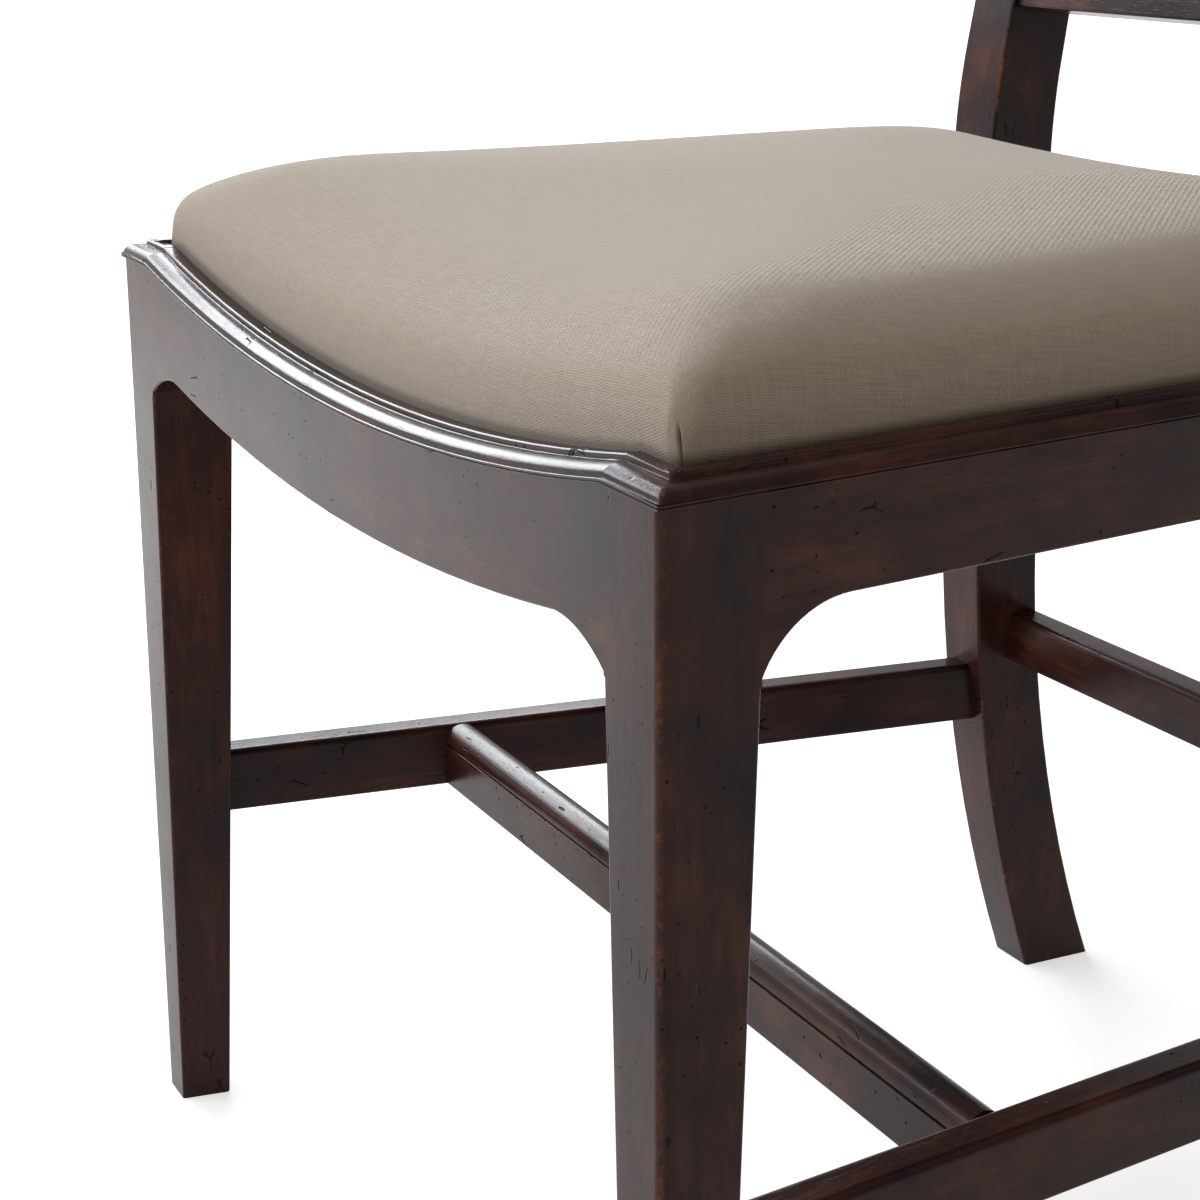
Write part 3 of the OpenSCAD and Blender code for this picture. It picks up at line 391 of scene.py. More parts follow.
# Rubbing through the finish along the edges, broken up so that it comes and goes
rub_effect, r_in, r_out = effect(
    "rubbed edges", [("Place", "Vector", None), ("Edge", "Float", 0.0), ("Amount", "Float", 0.5)],
    [("Rubbed", "Float")])
rub_noise = plus(rub_effect, times(rub_effect, cloudy(rub_effect, r_in["Place"], 34.0, 4.0, 0.6), 0.55),
                 times(rub_effect, cloudy(rub_effect, r_in["Place"], 330.0, 3.0, 0.7), 0.45))
feed(rub_effect, r_out["Rubbed"], maths(
    rub_effect, "MULTIPLY", r_in["Edge"],
    span(rub_effect, plus(rub_effect, rub_noise, r_in["Amount"]), 0.8, 1.0)))

# Worm holes and short knocks: small marks that are scattered and gathered in places
mark_effect, m_in, m_out = effect(
    "worm holes and knocks", [("Place", "Vector", None), ("Grain", "Vector", None), ("Amount", "Float", 0.5)],
    [("Holes", "Float"), ("Knocks", "Float"), ("Cracks", "Float"), ("Dents", "Float")])


def spots(tree, where, cells, radius, share):
    n = tree.nodes.new("ShaderNodeTexVoronoi")
    feed(tree, n.inputs["Vector"], where)
    n.inputs["Scale"].default_value = cells
    split = tree.nodes.new("ShaderNodeSeparateColor")
    tree.links.new(n.outputs["Color"], split.inputs[0])
    size = maths(tree, "MULTIPLY_ADD", split.outputs[1], radius * 0.7, radius * 0.5)
    near = maths(tree, "SUBTRACT", 1.0, maths(tree, "DIVIDE", n.outputs["Distance"], size), clamp=True)
    return times(tree, span(tree, near, 0.0, 0.45),
                 maths(tree, "LESS_THAN", split.outputs[0], share))


gather = span(mark_effect, cloudy(mark_effect, m_in["Place"], 17.0, 2.0), 0.42, 0.6)
feed(mark_effect, m_out["Holes"], maths(
    mark_effect, "MULTIPLY", spots(mark_effect, m_in["Place"], 185.0, 0.13,
                                   times(mark_effect, m_in["Amount"], 1.5)),
    maths(mark_effect, "GREATER_THAN", maths(mark_effect, "MULTIPLY_ADD", gather, 0.85, 0.3), 0.5)))
feed(mark_effect, m_out["Knocks"], maths(
    mark_effect, "MULTIPLY", spots(mark_effect, stretch(mark_effect, m_in["Grain"], (0.24, 1, 0.8)),
                                   120.0, 0.1,
                                   times(mark_effect, m_in["Amount"], 0.9)),
    gather))
crack = mark_effect.nodes.new("ShaderNodeTexVoronoi")
crack.feature = "DISTANCE_TO_EDGE"
feed(mark_effect, crack.inputs["Vector"], stretch(mark_effect, m_in["Grain"], (60, 130, 130)))
crack.inputs["Scale"].default_value = 1.0
feed(mark_effect, m_out["Cracks"], maths(
    mark_effect, "MULTIPLY", span(mark_effect, crack.outputs["Distance"], 0.015, 0.05, 1.0, 0.0),
    span(mark_effect, cloudy(mark_effect, m_in["Grain"], 38.0, 1.0), 0.7, 0.74)))
feed(mark_effect, m_out["Dents"], span(
    mark_effect, cloudy(mark_effect, m_in["Place"], 130.0, 3.0, 0.55), 0.52, 0.72))

# Cloth: two sets of threads over and under each other, with a little unevenness
weave_effect, w_in, w_out = effect(
    "weave", [("Place", "Vector", None), ("Threads", "Float", 1200.0), ("Twill", "Float", 1.0)],
    [("Height", "Float"), ("Tone", "Float")])
w_split = weave_effect.nodes.new("ShaderNodeSeparateXYZ")
feed(weave_effect, w_split.inputs[0], w_in["Place"])
w_u = times(weave_effect, w_split.outputs[0], w_in["Threads"])
w_v = times(weave_effect, w_split.outputs[1], w_in["Threads"])
w_slant = plus(weave_effect, times(weave_effect, w_u, w_in["Twill"]), w_v)
w_wale = maths(weave_effect, "SINE", times(weave_effect, w_slant, math.pi / 2))
w_warp = maths(weave_effect, "COSINE", times(weave_effect, w_u, math.pi))
w_weft = maths(weave_effect, "COSINE", times(weave_effect, w_v, math.pi))
w_up = span(weave_effect, w_wale, -0.35, 0.35)
w_warp_high = times(weave_effect, maths(weave_effect, "ABSOLUTE", w_warp), w_up)
w_weft_high = times(weave_effect, maths(weave_effect, "ABSOLUTE", w_weft),
                    maths(weave_effect, "SUBTRACT", 1.0, w_up))
w_yarn = plus(weave_effect, w_warp_high, w_weft_high)
w_along = cloudy(weave_effect, stretch(weave_effect, w_in["Place"], (60, 1100, 1)), 1.0, 3.0, 0.6)
w_across = cloudy(weave_effect, stretch(weave_effect, w_in["Place"], (1100, 60, 1)), 1.0, 3.0, 0.6)
w_uneven = plus(weave_effect, times(weave_effect, w_along, 0.5), times(weave_effect, w_across, 0.5))
feed(weave_effect, w_out["Height"], w_yarn)
feed(weave_effect, w_out["Tone"], plus(weave_effect, times(weave_effect, w_yarn, 0.55), times(
    weave_effect, span(weave_effect, w_uneven, 0.3, 0.7), 0.45)))


def deeper(colour, share):
    """The same colour, darker."""
    return tuple(c * share for c in colour[:3]) + (1,)


def polished_wood(name, dark, middle, light, rub, amount, marks, roughness):
    m, tree, shader = finish_of(name, Specular_IOR_Level=0.14)
    grain = mark(tree, "grain")
    spot = place(tree)
    g = use(tree, grain_effect, Place=grain, Where=spot)
    tone = plus(tree, times(tree, g["Streaks"], 0.42), times(tree, g["Drift"], 0.58))
    colour = blend(tree, span(tree, tone, 0.36, 0.49), dark, middle)
    colour = blend(tree, times(tree, span(tree, tone, 0.48, 0.64), 0.9), colour, light)
    colour = blend(tree, times(tree, span(tree, g["Glaze"], 0.5, 0.64), 0.72), colour, dark)
    colour = blend(tree, times(tree, g["Pores"], 0.55), colour, deeper(dark, 0.4))
    r = use(tree, rub_effect, Place=spot, Edge=mark(tree, "rubbed", "Fac"), Amount=amount)
    colour = blend(tree, r["Rubbed"], colour, rub)
    w = use(tree, mark_effect, Place=spot, Grain=grain, Amount=marks)
    dug = maths(tree, "MAXIMUM", w["Holes"], w["Cracks"])
    dug = maths(tree, "MAXIMUM", dug, times(tree, w["Knocks"], 0.85))
    colour = blend(tree, dug, colour, (0.003, 0.0025, 0.0025, 1))
    feed(tree, shader.inputs["Base Color"], colour)
    rough = plus(tree, roughness, times(tree, cloudy(tree, spot, 60.0, 4.0, 0.6), 0.12))
    rough = plus(tree, rough, times(tree, dug, 0.45))
    feed(tree, shader.inputs["Roughness"], rough)
    normal = bumped(tree, cloudy(tree, spot, 9.0, 1.0), 0.0012, 0.5)
    fibres = plus(tree, times(tree, g["Streaks"], 0.5), times(tree, g["Pores"], -0.5))
    normal = bumped(tree, fibres, 0.00008, 0.6, normal)
    normal = bumped(tree, w["Dents"], 0.0007, -0.7, normal)
    normal = bumped(tree, maths(tree, "SUBTRACT", 1.0, dug), 0.0005, 1.0, normal)
    feed(tree, shader.inputs["Normal"], normal)
    return m


mahogany = polished_wood("mahogany", (0.0095, 0.0075, 0.0085, 1), (0.038, 0.0128, 0.0105, 1),
                         (0.105, 0.034, 0.021, 1), (0.21, 0.068, 0.03, 1), 0.335, 0.8, 0.19)


def plain_wood(name, dark, pale):
    m, tree, shader = finish_of(name, Roughness=0.6, Specular_IOR_Level=0.35)
    grain = place(tree)
    g = use(tree, grain_effect, Place=grain, Where=grain)
    colour = blend(tree, span(tree, g["Streaks"], 0.35, 0.65), dark, pale)
    colour = blend(tree, times(tree, g["Pores"], 0.35), colour, (0.12, 0.07, 0.035, 1))
    feed(tree, shader.inputs["Base Color"], colour)
    feed(tree, shader.inputs["Normal"], bumped(tree, g["Streaks"], 0.0001, 0.5))
    return m


beech = plain_wood("beech", (0.30, 0.18, 0.10, 1), (0.48, 0.31, 0.18, 1))


def turned_steel():
    m, tree, shader = finish_of("steel", Metallic=1.0)
    where = place(tree)
    colour = blend(tree, cloudy(tree, where, 300.0, 3.0), (0.42, 0.41, 0.39, 1), (0.62, 0.61, 0.59, 1))
    feed(tree, shader.inputs["Base Color"], colour)
    feed(tree, shader.inputs["Roughness"], span(tree, cloudy(tree, where, 700.0, 3.0), 0.3, 0.7, 0.28, 0.46))
    feed(tree, shader.inputs["Normal"], bumped(tree, cloudy(tree, where, 1500.0, 2.0), 0.00005, 0.5))
    return m


steel = turned_steel()


def cloth(name, low, high, threads, twill, height, soft=0.3, source="UV", drift=None):
    m, tree, shader = finish_of(name, Roughness=0.85, Specular_IOR_Level=0.2,
                                Sheen_Weight=soft, Sheen_Roughness=0.45)
    where = place(tree, source)
    w = use(tree, weave_effect, Place=where, Threads=threads, Twill=twill)
    colour = blend(tree, w["Tone"], low, high)
    if drift is not None:
        broad = cloudy(tree, place(tree), 6.0, 3.0, 0.55)
        colour = blend(tree, times(tree, span(tree, broad, 0.35, 0.7), 0.35), colour, drift)
    # painted shade: the cloth is darker in its tucks and along its lower edge, where it goes into the rails
    colour = blend(tree, times(tree, mark(tree, "fold_and_painted_shade", "Fac"), 0.85), colour, deeper(low, 0.1))
    feed(tree, shader.inputs["Base Color"], colour)
    feed(tree, shader.inputs["Normal"], bumped(tree, w["Height"], height, 1.0))
    return m


taupe = cloth("taupe twill", (0.25, 0.205, 0.158, 1), (0.475, 0.40, 0.32, 1), 1300.0, 1.0, 0.00014, 0.4,
              drift=(0.39, 0.34, 0.27, 1))
cambric = cloth("black cambric", (0.010, 0.010, 0.011, 1), (0.035, 0.035, 0.037, 1),
                1400.0, 0.0, 0.00008, 0.15)
jute = cloth("jute webbing", (0.23, 0.165, 0.085, 1), (0.46, 0.36, 0.21, 1),
             420.0, 0.0, 0.0004, 0.1, "Object")


def wadding_of():
    m, tree, shader = finish_of("wadding", Roughness=0.95, Specular_IOR_Level=0.1, Sheen_Weight=0.2)
    where = place(tree)
    colour = blend(tree, cloudy(tree, where, 220.0, 5.0, 0.7), (0.62, 0.59, 0.50, 1), (0.86, 0.84, 0.76, 1))
    feed(tree, shader.inputs["Base Color"], colour)
    feed(tree, shader.inputs["Normal"], bumped(tree, cloudy(tree, where, 400.0, 5.0, 0.7), 0.0008, 0.8))
    return m


wadding = wadding_of()


def dress(piece, material):
    piece.data.materials.clear()
    piece.data.materials.append(material)


# ---------------------------------------------------------------- show wood
X = Vector((1, 0, 0))
Y = Vector((0, 1, 0))
Z = Vector((0, 0, 1))
TO_BACK_RIGHT = Vector((-math.sin(SPLAY), math.cos(SPLAY), 0))
TO_BACK_LEFT = Vector((math.sin(SPLAY), math.cos(SPLAY), 0))


def longest_run(node):
    """The direction of a lattice bar, from the far ends of its solid."""
    points = [v.co for v in nodes[node].data.vertices]
    low, high = min(points, key=lambda p: p.z), max(points, key=lambda p: p.z)
    return (high - low).normalized()


def front_leg_width(edge):
    """The outer corner of a front leg is rubbed rounder than the rest."""
    middle = (edge.verts[0].co + edge.verts[1].co) / 2
    upright = abs(edge.verts[0].co.z - edge.verts[1].co.z) > 30 * MM
    outer = middle.y < -0.26 and abs(middle.x) > 0.265
    return OUTER_CORNER if upright and outer else STRETCHER_EDGE


# Each piece with the way of its grain, how wide its edges are rounded, and what counts as its end
show_wood = [
    ("front_leg_left", Z, front_leg_width, LEANING), ("front_leg_right", Z, front_leg_width, LEANING),
    ("rear_leg_left", Z, LEG_EDGE, LEANING), ("rear_leg_right", Z, LEG_EDGE, LEANING),
    ("front_rail", X, RAIL_EDGE, SQUARE), ("rear_rail", X, RAIL_EDGE, SQUARE),
    ("side_rail_left", TO_BACK_LEFT, RAIL_EDGE, SQUARE),
    ("side_rail_right", TO_BACK_RIGHT, RAIL_EDGE, SQUARE),
    ("side_stretcher_left", TO_BACK_LEFT, STRETCHER_EDGE, LEANING),
    ("side_stretcher_right", TO_BACK_RIGHT, STRETCHER_EDGE, LEANING),
    ("cross_stretcher", X, STRETCHER_EDGE, LEANING), ("rear_stretcher", X, STRETCHER_EDGE, LEANING),
    ("top_rail", X, TOP_RAIL_EDGE, SQUARE), ("lower_back_rail", X, STRETCHER_EDGE, SQUARE),
]
for way in ("rising", "falling"):
    for k in range(1, 8):
        node = "lattice_%s_bar_%d" % (way, k)
        show_wood.append((node, longest_run(node), LATTICE_EDGE, SLANTED))


def rail_joints(piece, node):
    """Planes on which the seat rails lie against a leg, which show no gap. Each goes on a
    tenth of a millimetre beyond its cuts."""
    side = -1 if node.endswith("left") else 1
    back = TO_BACK_LEFT if side < 0 else TO_BACK_RIGHT
    low, clear = RAIL_LOW - 0.1 * MM, RAIL_LOW + 1.5 * MM
    if node.startswith("front_leg"):
        split_at(piece, RAIL_LOW, FRONT_RAIL_HIGH)
        near = [v.co for v in piece.data.vertices if clear < v.co.z < LEG_TOP - 10 * MM]
        moulded = max(v.co.y for v in piece.data.vertices if v.co.z > MOULDING_LOW + MM)
        mould_low = FRONT_RAIL_HIGH - 0.1 * MM
        return [(X * side, FRONT_INNER, low, LEG_TOP, 0.3), (X * side, FRONT_INNER, mould_low, LEG_TOP, 2.4),
                (back, max(p.dot(back) for p in near), low, LEG_TOP, 0.3),
                (Y, max(p.y for p in near), low, LEG_TOP, 0.3), (Y, moulded, mould_low, LEG_TOP, 0.6)]
    if node.startswith("rear_leg"):
        split_at(piece, RAIL_LOW, REAR_RAIL_HIGH)
        near = [v.co for v in piece.data.vertices if clear < v.co.z < REAR_RAIL_HIGH - 4.7 * MM]
        high = REAR_RAIL_HIGH + 0.1 * MM
        return [(X * side, REAR_INNER, low, high, 0.3), (Y, min(p.y for p in near), low, high, 0.3)]
    return []


for number, (node, along, width, end) in enumerate(show_wood):
    piece = copy_of(node, node + "_finished")
    clean(piece)
    soften(piece, along, width, end, rail_joints(piece, node))
    shade(piece)
    lay_grain(piece, along, number + 1)
    dress(piece, mahogany)

for corner in ("front_left", "front_right", "rear_left", "rear_right"):
    piece = copy_of("corner_block_" + corner, "corner_block_%s_planed" % corner)
    clean(piece)
    soften(piece, Z, BLOCK_EDGE, NO_ENDS)
    shade(piece)
    dress(piece, beech)

for node in ("corner_block_screws", "seat_screws"):
    piece = copy_of(node, node + "_turned")
    clean(piece, 0.2)
    pick(piece)
    bpy.ops.object.shade_smooth_by_angle(angle=math.radians(40))
    dress(piece, steel)

for node in ("seat_frame_front", "seat_frame_rear", "seat_frame_left", "seat_frame_right",
             "seat_frame_dowels"):
    dress(nodes[node], beech)
dress(nodes["seat_webbing"], jute)


# ---------------------------------------------------------------- slip seat
def sunk(x, half, radius, soft):
    """Depth of the dip, rounded off where it meets the level ends."""
    depth = math.sqrt(radius ** 2 - x ** 2) - math.sqrt(radius ** 2 - half ** 2)
    return 0.5 * (depth + math.sqrt(depth ** 2 + soft ** 2))


def dish(x, y, soft=0.01):
    """How far the dished frame of the seat lies below its ends, in millimetres."""
    t = min(max((y - DISHED_FROM) / (DISHED_TO - DISHED_FROM), 0.0), 1.0)
    if soft > 1:
        t = t * t * (3 - 2 * t)
    return (-(1 - t) * sunk(x, FRONT_DISH_HALF, FRONT_DISH_R, soft)
            - t * sunk(x, REAR_DISH_HALF, REAR_R, soft))


def turn(x, y, r, start, end, steps):
    out = []
    for i in range(steps + 1):
        t = 2 * i / steps - 1
        t = 0.5 + 0.5 * math.copysign(abs(t) ** 1.3, t)     # closer points in the middle
        a = start + (end - start) * t
        out.append((x + r * math.cos(a), y + r * math.sin(a), math.cos(a), math.sin(a)))
    return out


def straight(a, b, steps):
    out = []
    for i in range(1, steps):
        t = i / steps
        out.append(tuple(a[k] + (b[k] - a[k]) * t for k in range(4)))
    return out


def seat_ring(inset, r, corner=20, side=36, across=44):
    """Points of one level line of the cushion, each with the way it faces."""
    yf = inset + r
    yr = SEAT_BACK + COVER_IN - inset - r
    x = HALF_W - (inset + r) / math.cos(SPLAY)
    s = SPLAY
    quarter = math.pi / 2
    fr = turn(x - yf * math.tan(s), yf, r, -quarter, s, corner)
    rr = turn(x - yr * math.tan(s), yr, r, s, quarter, corner)
    rl = turn(yr * math.tan(s) - x, yr, r, quarter, 2 * quarter - s, corner)
    fl = turn(yf * math.tan(s) - x, yf, r, 2 * quarter - s, 3 * quarter, corner)
    return (fr + straight(fr[-1], rr[0], side) + rr + straight(rr[-1], rl[0], across)
            + rl + straight(rl[-1], fl[0], side) + fl + straight(fl[-1], fr[0], across))


# The crown, from high up to the lower edge: (inset as a share of SEAT_HALF, height as a share of CROWN)
CROWN_SHARES = [(0.66, 0.952), (0.56, 0.924), (0.46, 0.888), (0.31, 0.822), (0.195, 0.745), (0.112, 0.65),
                (0.059, 0.555), (0.028, 0.465), (0.0108, 0.375), (0.0029, 0.27), (0.0006, 0.15)]
TOP_SHARE = CROWN_SHARES[0][1]


def through(points, per_piece):
    """A smooth line through the given points."""
    out = []
    for i in range(len(points) - 1):
        p0 = points[max(i - 1, 0)]
        p1, p2 = points[i], points[i + 1]
        p3 = points[min(i + 2, len(points) - 1)]
        for j in range(per_piece):
            t = j / per_piece
            out.append(tuple(0.5 * ((2 * p1[k]) + (p2[k] - p0[k]) * t
                                    + (2 * p0[k] - 5 * p1[k] + 4 * p2[k] - p3[k]) * t * t
                                    + (3 * p1[k] - p0[k] - 3 * p2[k] + p3[k]) * t ** 3) for k in range(2)))
    out.append(points[-1])
    return out


def seat_section(thin):
    """Inset and height of the level lines of the cushion from high on its crown to its lower edge."""
    crown = [(a * SEAT_HALF, b * CROWN) for a, b in CROWN_SHARES] + [(0.0, 0.0)]
    return [(max(a, 0) + thin, b - thin) for a, b in through(crown, 3)]


def corner_radius(inset, height):
    """Sharp at the lower edge and rounder with the height, as far as there is room."""
    share = min(max(height / CROWN, 0), TOP_SHARE)
    return min(CORNER_R + CORNER_GROWTH * share ** 1.5, 0.7 * (SEAT_HALF - inset))


def ring_points(inset, height, scale=1.0, round_at=None):
    r = corner_radius(inset, height if round_at is None else round_at)
    soft = 0.01 + 9 * min(max(height / 30, 0), 1)
    points = [(x * scale, SEAT_MID + (y - SEAT_MID) * scale, nx, ny)
              for x, y, nx, ny in seat_ring(COVER_IN + inset, r)]
    return [(Vector((x, y, FRAME_TOP + height + dish(x, y, soft))), Vector((nx, ny, 0)).normalized())
            for x, y, nx, ny in points]


def eased(ring, far, values=None):
    """Evens out a level line, or some values along it, over a distance."""
    if far < 0.3:
        return ring
    values = values or ring
    n = len(ring)
    steps = [(ring[(i + 1) % n] - ring[i]).length for i in range(n)]
    share = [(steps[i - 1] + steps[i]) / 2 for i in range(n)]
    out = []
    for i in range(n):
        total, weight = values[i] * share[i], share[i]
        for way in (1, -1):
            k, run = i, 0.0
            while True:
                run += steps[k] if way > 0 else steps[k - 1]
                k = (k + way) % n
                if run > 3 * far:
                    break
                w = share[k] * math.exp(-0.5 * (run / far) ** 2)
                total = total + values[k] * w
                weight += w
        out.append(total / weight)
    return out


def to_frame(p):
    return Vector((p.x * MM, p.y * MM - FRONT, p.z * MM))


def skin_of(name, rings, top=None, bottom=None):
    """A mesh over level rings, from the top down, with a pole at either end if given."""
    mesh = bpy.data.meshes.new(name)
    bm = bmesh.new()
    lines = [[bm.verts.new(to_frame(p)) for p in ring] for ring in rings]
    n = len(lines[0])
    for a, b in zip(lines, lines[1:]):
        for i in range(n):
            j = (i + 1) % n
            bm.faces.new((a[i], b[i], b[j], a[j]))
    if top is not None:
        pole = bm.verts.new(to_frame(top))
        for i in range(n):
            bm.faces.new((pole, lines[0][i], lines[0][(i + 1) % n]))
    if bottom is not None:
        pole = bm.verts.new(to_frame(bottom))
        for i in range(n):
            bm.faces.new((pole, lines[-1][(i + 1) % n], lines[-1][i]))
    bm.to_mesh(mesh)
    bm.free()
    return put_in(name, mesh)


def filled_cushion():
    """The stuffed form under the cover: cloth blown up a little, held at its lower edge."""
    thin = 1.6
    section = seat_section(thin)
    top_inset, top_height = section[0]
    rings = []
    for scale in (0.05, 0.12, 0.2, 0.29, 0.38, 0.48, 0.58, 0.68, 0.78, 0.88, 0.95):
        height = top_height + (1 - TOP_SHARE) * CROWN * (1 - scale ** 2)
        ring = [p for p, _ in ring_points(top_inset, height, scale, top_height)]
        rings.append(eased(ring, CORNER_EASE * scale))
    rings += [eased([p for p, _ in ring_points(a, b)], CORNER_EASE * min(max(b / EASED_FROM, 0), 1))
              for a, b in section]
    rings.append([p for p, _ in ring_points(thin, FRAME_Z - FRAME_TOP)])
    pole = Vector((0, SEAT_MID, FRAME_TOP + CROWN - thin + dish(0, SEAT_MID, 9)))
    base = Vector((0, SEAT_MID, FRAME_Z + dish(0, SEAT_MID)))
    form = skin_of("cushion form", rings, pole, base)
    n = len(rings[0])
    start = [v.co.copy() for v in form.data.vertices]
    held = form.vertex_groups.new(name="held")
    free, firmer = len(rings) - 9, 7       # lines that are free, and over how many more it gets firm
    for k in range(len(rings)):
        share = min(max((k - free) / firmer, 0), 1)
        if share > 0:
            held.add(list(range(k * n, (k + 1) * n)), share, "REPLACE")
    held.add([len(start) - 1], 1.0, "REPLACE")
    blown = form.modifiers.new("blown up", "CLOTH")
    c = blown.settings
    c.quality = 5
    c.mass = 0.3
    c.tension_stiffness = c.compression_stiffness = 12
    c.shear_stiffness = 4
    c.bending_stiffness = 2.5
    c.use_pressure = True
    c.uniform_pressure_force = 4
    c.effector_weights.gravity = 0
    c.vertex_group_mass = "held"
    blown.collision_settings.use_collision = False
    blown.point_cache.frame_start = 1
    blown.point_cache.frame_end = 20
    for f in range(1, 21):
        bpy.context.scene.frame_set(f)
    pick(form)
    bpy.ops.object.modifier_apply(modifier=blown.name)
    bpy.context.scene.frame_set(1)
    moves = []
    for v, a in zip(form.data.vertices, start):
        above = a.z / MM - FRAME_TOP - dish(a.x / MM, (a.y + FRONT) / MM)
        cap = SWELL * MM * min(max(above / 30, 0.1), 1)
        step = v.co - a
        moves.append(step * (cap / (step.length + cap) if step.length > 1e-9 else 0))
    for k in range(len(rings)):
        ring = [a / MM for a in start[k * n:(k + 1) * n]]
        moves[k * n:(k + 1) * n] = eased(ring, EVEN_SWELL, moves[k * n:(k + 1) * n])
    for v, a, step in zip(form.data.vertices, start, moves):
        v.co = a + step
    return form, n, len(rings)


form, ring_n, ring_total = filled_cushion()
form_points = [Vector((v.co.x / MM, (v.co.y + FRONT) / MM, v.co.z / MM)) for v in form.data.vertices]
form_normals = [v.normal.copy() for v in form.data.vertices]
crown_rings = ring_total - 1


def moved_ring(k, out):
    return [form_points[k * ring_n + i] + form_normals[k * ring_n + i] * out for i in range(ring_n)]


def smooth(piece):
    sub = piece.modifiers.new("smooth", "SUBSURF")
    sub.levels = sub.render_levels = 1
    apply_all(piece)
    bpy.ops.object.shade_smooth()


def thicken(piece, thickness, offset):
    """Gives cloth its thickness, inwards from its outer side (-1) or outwards (1)."""
    wall = piece.modifiers.new("thickness of the cloth", "SOLIDIFY")
    wall.thickness = thickness * MM
    wall.offset = offset
    apply_all(piece)


pole_index = ring_total * ring_n
pole_top = form_points[pole_index]

# The cover: over the stuffing, down the sides of the seat frame and a little way under it
cover_rings = [moved_ring(k, COVER_T) for k in range(crown_rings)]
side = [p for p, _ in ring_points(0.4, -8.0)]
edge_low = [p for p, _ in ring_points(0.4, FRAME_Z - FRAME_TOP - 0.35)]
under_1 = [p for p, _ in ring_points(1.2, FRAME_Z - FRAME_TOP - 0.45)]
under_2 = [p for p, _ in ring_points(TURN_UNDER, FRAME_Z - FRAME_TOP - 0.45)]
cover_lines = cover_rings + [side, edge_low, under_1, under_2]
cover = skin_of("seat_cover_twill", cover_lines, pole_top + Vector((0, 0, COVER_T)))


def unroll(piece, rings):
    """Lays the cloth out flat: the plan of each point, carried outwards by the run of the slope."""
    mesh = piece.data
    uv = mesh.uv_layers.new(name="cloth")
    flat = {}
    run = [0.0] * ring_n
    facing = [d for _, d in ring_points(0, 0)]
    for k, ring in enumerate(rings):
        for i, p in enumerate(ring):
            if k:
                q = rings[k - 1][i]
                run[i] += (p - q).length - Vector((p.x - q.x, p.y - q.y)).length
            flat[k * ring_n + i] = ((p.x + facing[i].x * run[i]) * MM, (p.y + facing[i].y * run[i]) * MM)
    flat[len(rings) * ring_n] = (0.0, SEAT_MID * MM)
    for loop in mesh.loops:
        uv.data[loop.index].uv = flat[loop.vertex_index]


def tuck(piece):
    """The cloth is tucked at each corner: a short tuck above the moulding, with one side
    lying over the other, that runs out into a faint crease, with painted shade in its groove.
    Along its whole lower edge it is darkened by painted shade, and it is a little fuller there at the
    corners."""
    inset = COVER_IN + 0.4
    yf = inset + CORNER_R
    yr = SEAT_BACK + COVER_IN - inset - CORNER_R
    x = HALF_W - (inset + CORNER_R) / math.cos(SPLAY)
    mid = (SPLAY - math.pi / 2) / 2
    corners = [(x - yf * math.tan(SPLAY), yf, mid, 1), (yf * math.tan(SPLAY) - x, yf, math.pi - mid, -1),
               (x - yr * math.tan(SPLAY), yr, (SPLAY + math.pi / 2) / 2, 1),
               (yr * math.tan(SPLAY) - x, yr, math.pi - (SPLAY + math.pi / 2) / 2, -1)]
    reach_mm, reach_angle, reach_high = 40, 1.2, 30
    whole, fading = 8.5, 4.5                 # height up to which the tuck is whole, and its fading
    groove, lap = 0.45, 2.2                  # width of the groove and of the cloth lying over it
    crease_at, crease_reach = 15, 9          # height of the crease, and how far up and down it goes
    # painted shade: an attribute that darkens the cloth in the grooves of the tucks and along its lower edge
    dark = piece.data.attributes.new("fold_and_painted_shade", "FLOAT", "POINT").data
    for v, painted_shade_here in zip(piece.data.vertices, dark):
        px, py, pz = v.co.x / MM, (v.co.y + FRONT) / MM, v.co.z / MM
        h = pz - MOULDING_TOP - dish(px, py)
        painted_shade_here.value = 0.75 * min(max((2.2 - h) / 1.5, 0), 1)      # painted shade where it goes down into the rails
        for cx, cy, middle, way in corners:
            far = math.hypot(px - cx, py - cy)
            if far > reach_mm:
                continue
            angle = math.atan2(py - cy, px - cx)
            off = (angle - middle + math.pi) % (2 * math.pi) - math.pi
            if abs(off) > reach_angle or h > reach_high:
                continue
            line = -0.2 * max(h, 0) - 0.35 * max(h - 11, 0)
            across = off * way * far - line
            fold_and_painted_shade = 1 - min(max((h - whole) / fading, 0), 1)
            fold_and_painted_shade *= fold_and_painted_shade
            deep = 1.3 * min(max((h - 2.6) / 3, 0), 1)
            push = -deep * math.exp(-(across / groove) ** 2) * fold_and_painted_shade
            if across < 0:
                push += 0.6 * math.exp(across / lap) * (1 - math.exp(-(across / 0.5) ** 2)) * fold_and_painted_shade
            crease = max(0, 1 - abs(h - crease_at) / crease_reach)
            push += 0.22 * crease * math.exp(-(across / 1.1) ** 2)
            push += 0.5 * min(max((4 - h) / 2, 0), 1) * math.exp(-(off / 0.6) ** 2)
            v.co += Vector((math.cos(angle), math.sin(angle), 0)) * push * MM
            # painted shade along the groove of the tuck
            painted_shade_here.value = max(painted_shade_here.value, math.exp(-(across / 0.42) ** 2) * fold_and_painted_shade)
            break


unroll(cover, cover_lines)
smooth(cover)
tuck(cover)
thicken(cover, COVER_T, -1)
dress(cover, taupe)
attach(cover, "root")
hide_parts("seat_cover")

